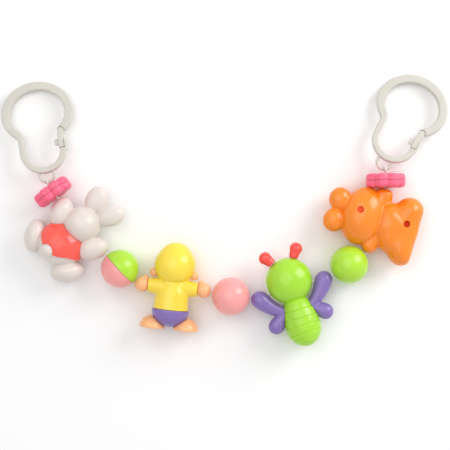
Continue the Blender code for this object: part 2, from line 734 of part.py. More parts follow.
def build_bear(pivot):
    for side, name in ((BACK, "back"), (FRONT, "front")):
        body = join(*make_lumps(BEAR, BEAR_LUMPS + BEAR_EARS))
        for arm in (-1, 1):
            body = join(body, limb(BEAR, [(arm * x, y, w, h) for x, y, w, h in BEAR_ARM], HAND_CAP, 8, 2))
        if side == FRONT:
            body = join(body, lump(BEAR, (0.7, 7.5, -13.0), (5.2, 4.0, 2.0), 0, 0, (8, 4)))
        body = cut(body, slab(BEAR, (-60, -70, -40), (60, BEAR_SOLE, 40)))
        body = keep_side(body, side)
        hollow = join(*make_lumps(BEAR, BEAR_LUMPS + BEAR_EARS, -WALL, (6, 4)))
        floor = BEAR_SOLE * BEAR + WALL
        far = 70 * BEAR
        hollow = cut(hollow, box((-far, -far, -far), (far, floor, far)))
        body = cut(body, hollow)
        for x, y, foot, top in POSTS:
            if side == BACK:
                body = cut(body, peg(BEAR, (x, y, -1), (x, y, 30), 2.3 * BEAR + 1.3 * CLEARANCE, 8))
            else:
                body = join(body, peg(BEAR, (x, y, foot), (x, y, top), 2.3 * BEAR, 8))
        if side == FRONT:
            for eye in (-1, 1):
                body = cut(body, lump(BEAR, (0.7 + eye * 7.5, 13.5, -14.2), (1.5, 1.5, 1.5), 0, 0, (6, 4)))
        finish(cut(body, bore()), f"bear_{name}_shell", "bear_orange", pivot)


# Clips

def arc(centre_y, semi, start, end, step=10.0):
    """Points of an ellipse about (0, centre_y), with its own half height above and below."""
    count = max(2, ceil(abs(end - start) / step) + 1)
    points = []
    for i in range(count):
        angle = radians(start + (end - start) * i / (count - 1))
        height = semi[1] if sin(angle) > 0 else semi[2]
        points.append((semi[0] * cos(angle), centre_y + height * sin(angle)))
    return points


def clip_outline():
    """The open hook, anticlockwise from the hinge end of the big loop."""
    bow_outer = (BOW_OUTER,) * 3
    bow_inner = (BOW_INNER,) * 3
    ledge = degrees(atan2(LEDGE_HEIGHT - BOW_CENTRE, BOW_INNER))
    stop_outer = BOW_OUTER + 0.7 * MM
    stop_inner = stop_outer - 1.7 * MM
    outline = arc(LOOP_CENTRE, LOOP_OUTER, -45.4, 230.4, 18)
    outline += arc(BOW_CENTRE, bow_outer, 180, 357, 20)
    outline += [(stop_outer, LEDGE_HEIGHT + 3.5 * MM), (stop_outer, STOP_HEIGHT), (stop_inner, STOP_HEIGHT)]
    outline += [(stop_inner, LEDGE_HEIGHT)]
    outline += arc(BOW_CENTRE, bow_inner, 360 + ledge, 180, 24)
    outline += arc(LOOP_CENTRE, LOOP_INNER, 231, -51, 20)
    return outline


def build_clip(pivot, name):
    half = CLIP_THICKNESS / 2
    tongue = TONGUE_THICKNESS / 2
    hinge = Vector((*HINGE, 0))
    down = Vector((0, 0, 1))

    def barrel(radius, low, high, sides=10):
        return rod(hinge + down * low, hinge + down * high, radius, sides)

    frame = rounded_plate(clip_outline(), CLIP_THICKNESS, CLIP_ROUNDING)
    knuckle_room = KNUCKLE_RADIUS + CLEARANCE
    frame = cut(frame, barrel(knuckle_room, -2 * half, 2 * half))
    x, y = HINGE
    neck = [(x - 1.8 * MM, y + 0.4 * MM), (x + 2.0 * MM, y - 0.9 * MM)]
    neck += [(x + 3.8 * MM, y + 3.7 * MM), (x - 0.4 * MM, y + 5.2 * MM)]
    frame = join(frame, prism(neck, -tongue, tongue), barrel(KNUCKLE_RADIUS, -tongue, tongue))
    frame = cut(frame, barrel(PIN_HOLE_RADIUS, -half, half, 8))
    shoulder = BOW_CENTRE - sqrt(BOW_OUTER ** 2 - EYE_RADIUS ** 2) + EYE_WIRE_RADIUS
    eye = [(EYE_RADIUS, shoulder, 0), (EYE_RADIUS, 0.6 * MM, 0)]
    for i in range(7):
        angle = radians(-180.0 * i / 6)
        eye.append((EYE_RADIUS * cos(angle), EYE_RADIUS * sin(angle), 0))
    eye += [(-EYE_RADIUS, 0.6 * MM, 0), (-EYE_RADIUS, shoulder, 0)]
    frame = join(frame, tube(eye, EYE_WIRE_RADIUS, 8))
    finish(frame, f"{name}_clip_frame", "clip_white", pivot)

    low = LEDGE_HEIGHT + CLEARANCE
    inner = BOW_INNER - 0.8 * MM
    outer = BOW_OUTER - 1.0 * MM - CLEARANCE
    bar = [
        (inner, low), (outer, low), (outer, STOP_HEIGHT), (x + 2.5 * MM, y - 1.1 * MM),
        (x + 2.3 * MM, y + 0.9 * MM), (x + 1.2 * MM, y + 2.2 * MM), (x - 0.2 * MM, y + 2.5 * MM),
        (x - 1.6 * MM, y + 2.1 * MM), (x - 2.5 * MM, y + 0.9 * MM), (x - 2.8 * MM, y - 0.8 * MM),
    ]
    gate = rounded_plate(bar, CLIP_THICKNESS, 0.8 * MM)
    middle = LEDGE_HEIGHT + 5.1 * MM
    reach = inner - 3.0 * MM
    tab = [
        (reach, middle - 1.6 * MM), (reach + 0.5 * MM, middle - 2.4 * MM), (inner + MM, middle - 2.6 * MM),
        (inner + MM, middle + 2.6 * MM), (reach + 0.5 * MM, middle + 2.4 * MM), (reach, middle + 1.6 * MM),
    ]
    gate = join(gate, prism(tab, -1.5 * MM, 1.5 * MM))
    gate = cut(gate, barrel(KNUCKLE_RADIUS + 2 * CLEARANCE, -tongue - CLEARANCE, tongue + CLEARANCE))
    for side in (-1, 1):
        gate = join(gate, barrel(PIN_RADIUS, side * 0.4 * MM, side * (tongue + CLEARANCE + 0.5 * MM), 8))
    gate.location = -hinge
    gate_pivot = bpy.data.objects.new(f"{name}_gate_hinge", None)
    gate_pivot.empty_display_size = 5 * MM
    gate_pivot.location = hinge
    gate_pivot.parent = pivot
    TOY.objects.link(gate_pivot)
    finish(gate, f"{name}_clip_gate", "clip_white", gate_pivot)


# Cord

def cord_length(start, end):
    """A straight piece of cord along X with rounded ends."""
    r = CORD_RADIUS
    profile = [(0.0, start), (0.7 * r, start + 0.3 * r), (r, start + r)]
    profile += [(r, end - r), (0.7 * r, end - 0.3 * r), (0.0, end)]
    return turned(profile, "X", 8)


def build_cord(pivots, hinges):
    """hinges are the bend points in world space, one more than there are beads."""
    for index, (bead, _, _, _) in enumerate(BEADS):
        home = pivots[bead].matrix_world.inverted()
        start = (home @ hinges[index]).x + CLEARANCE / 2
        end = (home @ hinges[index + 1]).x - CLEARANCE / 2
        piece = cord_length(start, end)
        if bead == "right_disc":
            face = DISC_THICKNESS / 2
            tail = [(face - 2.4 * MM, 0, 0), (face - 1.6 * MM, -0.6 * MM, 0.3 * MM)]
            tail += [(face - 0.6 * MM, -1.5 * MM, 1.0 * MM), (face + 0.9 * MM, -2.4 * MM, 1.7 * MM)]
            tail += [(face + 1.9 * MM, -4.6 * MM, 2.3 * MM), (face + 2.2 * MM, -7.6 * MM, 2.6 * MM)]
            tail += [(face + 2.2 * MM, -11.0 * MM, 2.7 * MM), (face + 2.0 * MM, -14.8 * MM, 2.7 * MM)]
            piece = join(piece, tube(tail, CORD_RADIUS * 0.8, 6))
        finish(piece, f"cord_{index + 1:02d}_{bead}", "cord_clear", pivots[bead])


def build_cord_loop(pivot, name):
    """A loop round the clip's eye; the pivot sits at the middle of the eye's wire."""
    path = []
    for i in range(10):
        angle = 2 * pi * i / 10
        path.append((0, CORD_LOOP_RADIUS * cos(angle), CORD_LOOP_RADIUS * sin(angle)))
    finish(tube(path, CORD_RADIUS, 6, True), f"cord_{name}_loop", "cord_clear", pivot)


# Layout

def make_pivot(name, parent, matrix):
    pivot = bpy.data.objects.new(name, None)
    pivot.empty_display_size = 8 * MM
    TOY.objects.link(pivot)
    pivot.parent = parent
    pivot.matrix_local = matrix
    return pivot


def direction(heading):
    return Vector((cos(radians(heading)), sin(radians(heading)), 0))


def lay_out(root):
    """Walks along the cord from the left disc. It gives the bead pivots and the bend points."""
    pivots = {}
    hinges = []
    cursor = Vector((0, 0, CORD_HEIGHT))
    first = BEADS[0]
    hinges.append(cursor - direction(first[2]) * HINGE_TO_DISC)
    for name, half, heading, gap in BEADS:
        along = direction(heading)
        middle = cursor + along * half
        place = Matrix.Translation(middle) @ Matrix.Rotation(radians(heading), 4, "Z")
        pivots[name] = make_pivot(f"{name}_axis", root, place)
        end = middle + along * half
        if name == BEADS[-1][0]:
            hinges.append(end + along * HINGE_TO_DISC)
            break
        hinge = end + along * (gap / 2)
        hinges.append(hinge)
        following = BEADS[[bead[0] for bead in BEADS].index(name) + 1]
        cursor = hinge + direction(following[2]) * (gap / 2)
    return pivots, hinges


def clip_place(hinge, pull, heading):
    """The clip hangs from its cord loop, with the far end of its big loop on the floor.

    pull is the cord's own heading where it grips the eye, which may be off the clip's middle.
    """
    wire = hinge + direction(pull) * HINGE_TO_EYE_WIRE
    half = CLIP_THICKNESS / 2
    skew = radians(heading - pull)
    rim = []
    for x, y in arc(LOOP_CENTRE, LOOP_OUTER, 0, 180, 5):
        rim.append(x * sin(skew) + y * cos(skew))
    reach = EYE_RADIUS + max(rim) - CLIP_ROUNDING
    lean = 0.0
    for _ in range(8):
        lean = (CORD_HEIGHT - half * cos(lean)) / reach
    turn = Matrix.Rotation(radians(pull - 90), 4, "Z")
    tip = Matrix.Rotation(-lean, 4, "X")
    loop = Matrix.Translation(wire) @ turn
    swing = loop @ tip
    return loop, swing @ Matrix.Translation((0, EYE_RADIUS, 0)) @ Matrix.Rotation(skew, 4, "Z")


def centre_on_floor(root):
    bpy.context.view_layer.update()
    points = []
    for piece in TOY.objects:
        if piece.type == "MESH":
            points += [piece.matrix_world @ vertex.co for vertex in piece.data.vertices]
    low = Vector([min(p[i] for p in points) for i in range(3)])
    high = Vector([max(p[i] for p in points) for i in range(3)])
    root.location = (-(low.x + high.x) / 2, -(low.y + high.y) / 2, -low.z)
    bpy.context.view_layer.update()


clear_scene()
bpy.context.scene.unit_settings.scale_length = 1.0
TOY = bpy.data.collections.new("pram_chain_toy")
bpy.context.scene.collection.children.link(TOY)
MATERIALS = {name: make_material(name, colour) for name, colour in COLOURS.items()}

ROOT = bpy.data.objects.new("pram_chain_toy_base", None)
TOY.objects.link(ROOT)
PIVOTS, HINGES = lay_out(ROOT)
bpy.context.view_layer.update()

build_balls(PIVOTS)
build_discs(PIVOTS)
build_rabbit(PIVOTS["rabbit"])
build_child(PIVOTS["child"])
build_bug(PIVOTS["bug"])
build_bear(PIVOTS["bear"])
build_cord(PIVOTS, HINGES)
CLIPS = {}
for side_name, hinge_point in (("left", HINGES[0]), ("right", HINGES[-1])):
    loop_place, frame_place = clip_place(hinge_point, *CLIP_HEADINGS[side_name])
    loop_pivot = make_pivot(f"{side_name}_loop_axis", ROOT, loop_place)
    CLIPS[side_name] = make_pivot(f"{side_name}_clip_axis", ROOT, frame_place)
    bpy.context.view_layer.update()
    build_cord_loop(loop_pivot, side_name)
    build_clip(CLIPS[side_name], side_name)
centre_on_floor(ROOT)
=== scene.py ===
"""Looks of the pram chain toy: nine beads on an elastic cord between two hook clips, lying on its front."""

import json
from math import atan2, ceil, cos, degrees, pi, radians, sin, sqrt

import bmesh
import bpy
import numpy as np
from mathutils import Matrix, Vector

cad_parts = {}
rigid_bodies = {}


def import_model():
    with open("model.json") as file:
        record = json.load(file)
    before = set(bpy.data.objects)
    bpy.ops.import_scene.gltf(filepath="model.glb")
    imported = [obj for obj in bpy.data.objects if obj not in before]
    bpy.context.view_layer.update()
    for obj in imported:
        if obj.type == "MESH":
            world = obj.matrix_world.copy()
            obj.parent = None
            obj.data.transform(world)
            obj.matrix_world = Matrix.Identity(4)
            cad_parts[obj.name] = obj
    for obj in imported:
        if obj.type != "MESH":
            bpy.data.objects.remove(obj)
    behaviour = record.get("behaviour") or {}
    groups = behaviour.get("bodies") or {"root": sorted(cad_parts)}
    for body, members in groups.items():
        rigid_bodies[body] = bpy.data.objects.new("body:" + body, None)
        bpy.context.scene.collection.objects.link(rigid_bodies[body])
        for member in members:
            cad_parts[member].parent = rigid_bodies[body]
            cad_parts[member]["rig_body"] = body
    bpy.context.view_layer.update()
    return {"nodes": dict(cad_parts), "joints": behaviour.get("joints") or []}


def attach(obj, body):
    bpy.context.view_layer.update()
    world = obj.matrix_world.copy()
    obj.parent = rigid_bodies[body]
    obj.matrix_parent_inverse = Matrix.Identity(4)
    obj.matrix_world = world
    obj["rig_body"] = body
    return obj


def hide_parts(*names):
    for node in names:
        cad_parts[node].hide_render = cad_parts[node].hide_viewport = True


MM = 0.001

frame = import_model()
JOINTS = {joint["name"]: joint for joint in frame["joints"]}

# Sizes are in millimetres. A lump is a centre, three half-widths and a turn in degrees about Z

GAP = 0.3
CORD_RADIUS = 0.75
BORE_RADIUS = 1.1
BALL_RADIUS = 15.0
CHILD_REACH = 30.6
BUG_REACH = 33.9
BEAR_REACH = 26.4

BACK = 1
FRONT = -1
HALVES = ((BACK, "back"), (FRONT, "front"))
SIDES = ((-1, "left"), (1, "right"))
BEADS = [
    "left_disc", "rabbit", "two_tone_ball", "child", "pink_ball", "bug", "green_ball", "bear", "right_disc",
]


# Places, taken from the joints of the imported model

def upright(position, along):
    """A bead's place: its cord runs along X and its back faces up."""
    x = Vector(along).normalized()
    z = Vector((0, 0, 1))
    y = z.cross(x)
    place = Matrix((x, y, z)).transposed().to_4x4()
    place.translation = Vector(position)
    return place


def bead_place(bead):
    joint = JOINTS[f"{bead}_spin"]
    return upright(joint["pos_m"], joint["axis"])


# Materials

FLOW_SCALE = 42.0
GLOSS_SCALE = 95.0
WAVE_SCALE = 130.0
EDGE_POINTINESS = (0.54, 0.68)
EDGE_WEAR = 0.22
EDGE_PALENESS = 0.35


def link(tree, a, b):
    tree.links.new(a, b)


def noise(tree, place, scale, detail, distortion=0.0):
    """A noise pattern in the piece's own space."""
    made = tree.nodes.new("ShaderNodeTexNoise")
    made.inputs["Scale"].default_value = scale
    made.inputs["Detail"].default_value = detail
    made.inputs["Distortion"].default_value = distortion
    link(tree, place.outputs["Object"], made.inputs["Vector"])
    return made.outputs["Fac"]


def remapped(tree, value, source, target):
    """A value with one range stretched onto another."""
    made = tree.nodes.new("ShaderNodeMapRange")
    for key, number in zip(("From Min", "From Max", "To Min", "To Max"), (*source, *target)):
        made.inputs[key].default_value = number
    link(tree, value, made.inputs["Value"])
    return made.outputs["Result"]


def plastic(name, colour, rough=(0.18, 0.28), glow=0.10, mottle=0.05, coat=0.15):
    """Glossy moulded plastic with faint flow marks, uneven gloss and paler worn edges."""
    material = bpy.data.materials.new(name)
    material.use_nodes = True
    material.diffuse_color = (*colour, 1)
    tree = material.node_tree
    shader = tree.nodes["Principled BSDF"]
    place = tree.nodes.new("ShaderNodeTexCoord")

    tones = tree.nodes.new("ShaderNodeValToRGB")
    dark, light = tones.color_ramp.elements
    dark.position = 0.30
    light.position = 0.72
    dark.color = (*[c * (1 - mottle) for c in colour], 1)
    light.color = (*[min(1, c * (1 + mottle) + 0.004) for c in colour], 1)
    link(tree, noise(tree, place, FLOW_SCALE, 4.0, 0.8), tones.inputs["Fac"])

    edges = tree.nodes.new("ShaderNodeNewGeometry")
    worn = remapped(tree, edges.outputs["Pointiness"], EDGE_POINTINESS, (0.0, EDGE_WEAR))
    mix = tree.nodes.new("ShaderNodeMix")
    mix.data_type = "RGBA"
    link(tree, worn, mix.inputs["Factor"])
    link(tree, tones.outputs["Color"], mix.inputs["A"])
    mix.inputs["B"].default_value = (*[c + (1 - c) * EDGE_PALENESS for c in colour], 1)
    link(tree, mix.outputs["Result"], shader.inputs["Base Color"])

    gloss = remapped(tree, noise(tree, place, GLOSS_SCALE, 3.0), (0.3, 0.7), rough)
    link(tree, gloss, shader.inputs["Roughness"])

    bump = tree.nodes.new("ShaderNodeBump")
    bump.inputs["Strength"].default_value = 0.10
    bump.inputs["Distance"].default_value = 0.12 * MM
    link(tree, noise(tree, place, WAVE_SCALE, 2.0), bump.inputs["Height"])
    link(tree, bump.outputs["Normal"], shader.inputs["Normal"])

    shader.inputs["Subsurface Weight"].default_value = glow
    shader.inputs["Subsurface Radius"].default_value = (1.0, 0.6, 0.45)
    shader.inputs["Subsurface Scale"].default_value = 1.6 * MM
    shader.inputs["Coat Weight"].default_value = coat
    shader.inputs["Coat Roughness"].default_value = 0.06
    return material


def srgb(code):
    """A linear colour from a hex code."""
    values = [int(code[i:i + 2], 16) / 255 for i in (0, 2, 4)]
    return tuple(v / 12.92 if v <= 0.04045 else ((v + 0.055) / 1.055) ** 2.4 for v in values)


PLASTICS = {
    "clip_white": dict(colour=srgb("D0CDC3"), rough=(0.40, 0.55), glow=0.2, mottle=0.02, coat=0.0),
    "disc_pink": dict(colour=srgb("FF6688"), rough=(0.32, 0.45), coat=0.05),
    "rabbit_white": dict(colour=srgb("E2D8D1"), rough=(0.26, 0.38), glow=0.25, mottle=0.025, coat=0.05),
    "vest_red": dict(colour=srgb("FF5A4C")),
    "ball_green": dict(colour=srgb("B1E334")),
    "ball_pink": dict(colour=srgb("FFA5A3")),
    "hood_yellow": dict(colour=srgb("FFDC42")),
    "skin": dict(colour=srgb("FFBA82"), rough=(0.20, 0.32)),
    "purple": dict(colour=srgb("866DB4")),
    "bug_green": dict(colour=srgb("A6DE2E")),
    "face_cream": dict(colour=srgb("F4F0E0")),
    "feeler_red": dict(colour=srgb("FF4C43")),
    "bear_orange": dict(colour=srgb("FF8B14"), glow=0.2),
    "cord_clear": dict(colour=srgb("E6E2DE"), rough=(0.3, 0.45), glow=0.3, mottle=0.04, coat=0.0),
    "eye_black": dict(colour=(0.012, 0.011, 0.012), glow=0.0, mottle=0.2),
    # The pegs are the bear's orange deepened to red: painted shade for the dark bottom of each post hole
    "peg_painted_shade": dict(colour=srgb("F45602"), rough=(0.5, 0.65), coat=0.0),
}
MATERIALS = {name: plastic(name, **looks) for name, looks in PLASTICS.items()}


# Meshes. Points are in millimetres, and become metres when the piece is placed

def turns(count):
    """Even angles round a circle, half a step off the axes."""
    return [2 * pi * (i + 0.5) / count for i in range(count)]


def object_of(points, faces):
    mesh = bpy.data.meshes.new("piece")
    mesh.from_pydata([tuple(p) for p in points], [], faces)
    edit = bmesh.new()
    edit.from_mesh(mesh)
    bmesh.ops.recalc_face_normals(edit, faces=edit.faces)
    edit.to_mesh(mesh)
    edit.free()
    made = bpy.data.objects.new("piece", mesh)
    bpy.context.scene.collection.objects.link(made)
    return made


def rings_object(rings):
    """A closed skin over a stack of rings. A ring of one point is a tip."""
    points = []
    starts = []
    for ring in rings:
        starts.append(len(points))
        points.extend(ring)
    faces = []
    for low, high, start, after in zip(rings, rings[1:], starts, starts[1:]):
        count = max(len(low), len(high))
        for i in range(count):
            j = (i + 1) % count
            if len(low) == 1:
                faces.append((start, after + i, after + j))
            elif len(high) == 1:
                faces.append((start + i, start + j, after))
            else:
                faces.append((start + i, start + j, after + j, after + i))
    if len(rings[0]) > 1:
        faces.append(tuple(range(len(rings[0]))))
    if len(rings[-1]) > 1:
        faces.append(tuple(starts[-1] + i for i in range(len(rings[-1]))))
    return object_of(points, faces)


def ellipsoid(centre, semi, turn=0.0, segments=64, rings=32):
    turned_by = Matrix.Rotation(radians(turn), 3, "Z")
    angles = turns(segments)
    stack = []
    for k in range(rings + 1):
        polar = pi * k / rings
        flat = sin(polar)
        ring = []
        for angle in angles[:1] if k in (0, rings) else angles:
            point = Vector((semi[0] * flat * cos(angle), semi[1] * flat * sin(angle), 0))
            ring.append(Vector(centre) + turned_by @ point + Vector((0, 0, semi[2] * cos(polar))))
        stack.append(ring)
    return rings_object(stack)


def turned(profile, axis="Z", sides=72, squash=1.0):
    """A solid of revolution through (radius, height) points, flattened in Z by the squash."""
    angles = turns(sides)
    rings = []
    for radius, height in profile:
        ring = []
        for angle in angles[:1] if radius == 0 else angles:
            u = radius * cos(angle)
            v = radius * sin(angle)
            if axis == "X":
                ring.append(Vector((height, u, v * squash)))
            elif axis == "Y":
                ring.append(Vector((u, height, v * squash)))
            else:
                ring.append(Vector((u, v, height)))
        rings.append(ring)
    return rings_object(rings)


def rod(start, end, radius, sides=32):
    start = Vector(start)
    end = Vector(end)
    turn = (end - start).to_track_quat("Z", "Y")
    rings = []
    for middle in (start, end):
        rings.append([middle + turn @ Vector((radius * cos(a), radius * sin(a), 0)) for a in turns(sides)])
    return rings_object(rings)


def tube(path, radius, sides=16, closed=False):
    """A round wire along a path, with flat ends or closed into a loop."""
    points = [Vector(p) for p in path]
    count = len(points)
    rings = []
    normal = None
    for k, point in enumerate(points):
        if closed:
            along = (points[(k + 1) % count] - points[k - 1]).normalized()
        else:
            along = (points[min(k + 1, count - 1)] - points[max(k - 1, 0)]).normalized()
        if normal is None:
            normal = along.orthogonal().normalized()
        normal = (normal - along * normal.dot(along)).normalized()
        across = along.cross(normal)
        rings.append([point + radius * (normal * cos(a) + across * sin(a)) for a in turns(sides)])
    if not closed:
        return rings_object(rings)
    vertices = [point for ring in rings for point in ring]
    faces = []
    for k in range(count):
        a = k * sides
        b = ((k + 1) % count) * sides
        for i in range(sides):
            j = (i + 1) % sides
            faces.append((a + i, a + j, b + j, b + i))
    return object_of(vertices, faces)


def box(low, high):
    corners = [(x, y, z) for x in (low[0], high[0]) for y in (low[1], high[1]) for z in (low[2], high[2])]
    faces = [(0, 1, 3, 2), (4, 6, 7, 5), (0, 4, 5, 1), (2, 3, 7, 6), (0, 2, 6, 4), (1, 5, 7, 3)]
    return object_of(corners, faces)


def prism(outline, low, high):
    return rings_object([[Vector((x, y, z)) for x, y in outline] for z in (low, high)])


def inset(outline, distance):
    """The outline moved inward by the same distance all round."""
    moved = []
    count = len(outline)
    for i in range(count):
        before = (Vector(outline[i]) - Vector(outline[i - 1])).normalized()
        after = (Vector(outline[(i + 1) % count]) - Vector(outline[i])).normalized()
        normal = Vector((-before.y - after.y, before.x + after.x)).normalized()
        lean = max(0.5, normal.dot(Vector((-before.y, before.x))))
        point = Vector(outline[i]) + normal * (distance / lean)
        moved.append((point.x, point.y))
    return moved


def rounded_plate(outline, thickness, rounding, steps=5):
    """A plate about Z = 0 with rounded rims."""
    half = thickness / 2
    levels = []
    for k in range(steps + 1):
        angle = radians(90 - 90 * k / steps)
        levels.append((rounding * (1 - cos(angle)), half - rounding * (1 - sin(angle))))
    order = levels + [(back, -rise) for back, rise in levels[::-1]]
    return rings_object([[Vector((x, y, height)) for x, y in inset(outline, back)] for back, height in order])


def smooth_path(points, steps):
    """A smooth curve through the points."""
    points = [Vector(p) for p in points]
    made = []
    for k in range(len(points) - 1):
        p0 = points[max(k - 1, 0)]
        p1, p2 = points[k], points[k + 1]
        p3 = points[min(k + 2, len(points) - 1)]
        for i in range(steps):
            t = i / steps
            made.append(
                0.5 * (2 * p1 + (p2 - p0) * t + (2 * p0 - 5 * p1 + 4 * p2 - p3) * t ** 2
                       + (3 * p1 - p0 - 3 * p2 + p3) * t ** 3)
            )
    made.append(points[-1])
    return made


def apply_modifiers(base):
    graph = bpy.context.evaluated_depsgraph_get()
    mesh = bpy.data.meshes.new_from_object(base.evaluated_get(graph))
    base.modifiers.clear()
    base.data = mesh
    return base


def combine(base, others, operation):
    """Joins, cuts or intersects the base with each other piece, and uses that piece up."""
    for other in others:
        step = base.modifiers.new("step", "BOOLEAN")
        step.operation = operation
        step.solver = "EXACT"
        step.object = other
        apply_modifiers(base)
        bpy.data.objects.remove(other)
    return base


def join(*pieces):
    return combine(pieces[0], pieces[1:], "UNION")


def cut(base, *tools):
    return combine(base, tools, "DIFFERENCE")


def slice_off(base, point, normal):
    """Cuts off what lies on the side that the normal points to, and closes the cut."""
    edit = bmesh.new()
    edit.from_mesh(base.data)
    everything = edit.verts[:] + edit.edges[:] + edit.faces[:]
    cut_at = bmesh.ops.bisect_plane(
        edit, geom=everything, dist=1e-5, plane_co=point, plane_no=normal, clear_outer=True
    )
    rim = [e for e in cut_at["geom_cut"] if isinstance(e, bmesh.types.BMEdge)]
    bmesh.ops.holes_fill(edit, edges=rim, sides=0)
    bmesh.ops.recalc_face_normals(edit, faces=edit.faces)
    edit.to_mesh(base.data)
    edit.free()
    return base


def keep_side(base, side):
    """The back or the front half, less its share of the seam."""
    return slice_off(base, (0, 0, side * GAP / 2), (0, 0, -side))


def copy_of(base):
    other = base.copy()
    other.data = base.data.copy()
    bpy.context.scene.collection.objects.link(other)
    return other


def bore():
    """The tool for the cord's hole through a bead."""
    return rod((-60, 0, 0), (60, 0, 0), BORE_RADIUS, 24)


def grown(lump, grow):
    centre, semi, turn = lump
    return centre, tuple(s + grow for s in semi), turn


def pocket(lump):
    """The tool that cuts room for a lump, a gap away from it."""
    return ellipsoid(*grown(lump, GAP), 96, 48)


# Smooth moulded bodies: a field says how far a point is outside the shape

def ball_field(centre, semi, turn=0.0):
    centre = np.array(centre, float)
    semi = np.array(semi, float)
    c, s = cos(radians(turn)), sin(radians(turn))

    def field(p):
        q = p - centre
        u = np.stack([q[:, 0] * c + q[:, 1] * s, -q[:, 0] * s + q[:, 1] * c, q[:, 2]], 1)
        near = np.linalg.norm(u / semi, axis=1)
        slope = np.linalg.norm(u / semi ** 2, axis=1)
        return near * (near - 1) / np.maximum(slope, 1e-9)

    return field


def limb_field(path):
    """A round-ended limb through (x, y, width, height) points at z = 0."""
    def field(p):
        best = None
        for (x0, y0, w0, h0), (x1, y1, w1, h1) in zip(path, path[1:]):
            run = np.array([x1 - x0, y1 - y0])
            t = np.clip(((p[:, 0] - x0) * run[0] + (p[:, 1] - y0) * run[1]) / (run @ run), 0, 1)
            width = w0 + (w1 - w0) * t
            squash = (h0 + (h1 - h0) * t) / width
            dx = p[:, 0] - x0 - run[0] * t
            dy = p[:, 1] - y0 - run[1] * t
            away = np.sqrt(dx ** 2 + dy ** 2 + (p[:, 2] / squash) ** 2) - width
            best = away if best is None else melt(best, away, 1.5)
        return best

    return field


def pill_field(centre, radius, half, power):
    """A soft-edged cylinder along X."""
    x, y, z = centre

    def field(p):
        around = np.sqrt((p[:, 1] - y) ** 2 + (p[:, 2] - z) ** 2) / radius
        along = np.abs(p[:, 0] - x) / half
        return ((around ** power + along ** power) ** (1 / power) - 1) * min(radius, half)

    return field


def plane_field(point, normal):
    normal = np.array(normal, float)

    def field(p):
        return (p - np.array(point, float)) @ normal

    return field


def melt(a, b, soft):
    """The smaller of two fields, with a fillet."""
    share = np.clip(0.5 + 0.5 * (b - a) / soft, 0, 1)
    return b * (1 - share) + a * share - soft * share * (1 - share)


def together(soft, *fields):
    """The union of the fields, with a fillet where they meet."""
    def field(p):
        result = fields[0](p)
        for other in fields[1:]:
            result = melt(result, other(p), soft)
        return result

    return field


def within(soft, first, limit):
    """The part of the first field that lies inside the limit, with a rounded edge."""
    def field(p):
        return -melt(-first(p), -limit(p), soft)

    return field


FIELD_STEP = 0.02
LONGEST_MOVE = 0.8
MOULD_ROUNDS = 8


def mould(seeds, field, grain=0.6):
    """Remeshes the rough seeds evenly, then moves each point onto the field's surface."""
    base = seeds[0]
    if len(seeds) > 1:
        edit = bmesh.new()
        for seed in seeds:
            edit.from_mesh(seed.data)
        edit.to_mesh(base.data)
        edit.free()
        for seed in seeds[1:]:
            bpy.data.objects.remove(seed)
    even = base.modifiers.new("even", "REMESH")
    even.mode = "VOXEL"
    even.voxel_size = grain
    even.adaptivity = 0
    apply_modifiers(base)
    flat = np.empty(len(base.data.vertices) * 3, np.float32)
    base.data.vertices.foreach_get("co", flat)
    p = flat.reshape(-1, 3).astype(float)
    for _ in range(MOULD_ROUNDS):
        value = field(p)
        slope = np.empty_like(p)
        for axis in range(3):
            shift = np.zeros(3)
            shift[axis] = FIELD_STEP
            slope[:, axis] = (field(p + shift) - field(p - shift)) / (2 * FIELD_STEP)
        size = np.maximum((slope ** 2).sum(1), 0.15)
        move = -(value / size)[:, None] * slope
        length = np.linalg.norm(move, axis=1)
        p += move * np.minimum(1, LONGEST_MOVE / np.maximum(length, 1e-9))[:, None]
    base.data.vertices.foreach_set("co", p.astype(np.float32).ravel())
    base.data.update()
    return base


def egg(lump, grain=0.5):
    """An even, seamless ellipsoid."""
    return mould([ellipsoid(*lump, 32, 16)], ball_field(*lump), grain)


def flat_egg(lump, point, normal, soft):
    """An egg cut flat, with a rounded rim."""
    field = within(soft, ball_field(*lump), plane_field(point, normal))
    return mould([slice_off(ellipsoid(*lump, 48, 24), point, normal)], field, 0.45)


def limb_seeds(path):
    """Rough ellipsoids along a limb's path."""
    seeds = []
    for (x0, y0, w0, h0), (x1, y1, w1, h1) in zip(path, path[1:]):
        for k in range(4):
            t = k / 3
            w, h = w0 + (w1 - w0) * t, h0 + (h1 - h0) * t
            seeds.append(ellipsoid((x0 + (x1 - x0) * t, y0 + (y1 - y0) * t, 0), (w, w, h), 0, 20, 10))
    return seeds


# Placing

def show(piece, name, place, body, slot, nodes=(), crease=40.0, material=None):
    """Puts a piece in its place, on its body, standing for its CAD nodes."""
    piece.name = name
    piece.data.name = name
    edit = bmesh.new()
    edit.from_mesh(piece.data)
    bmesh.ops.remove_doubles(edit, verts=edit.verts, dist=0.002)
    bmesh.ops.transform(edit, matrix=place @ Matrix.Scale(MM, 4), verts=edit.verts)
    edit.to_mesh(piece.data)
    edit.free()
    piece.data.materials.clear()
    piece.data.materials.append(MATERIALS[material or slot])
    piece.data.shade_smooth()
    piece.data.set_sharp_from_angle(angle=radians(crease))
    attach(piece, body)
    if nodes:
        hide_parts(*nodes)


def show_eyes(bead, slot, middle, apart, size):
    """Two small domed eyes, set into the face on either side of a middle point."""
    place = bead_place(bead)
    x, y, z = middle
    for side, name in SIDES:
        dot = ellipsoid((x + side * apart, y, z), size, 0, 24, 12)
        show(dot, f"{bead}_{name}_eye", place, bead, slot, material="eye_black")


# Balls and discs

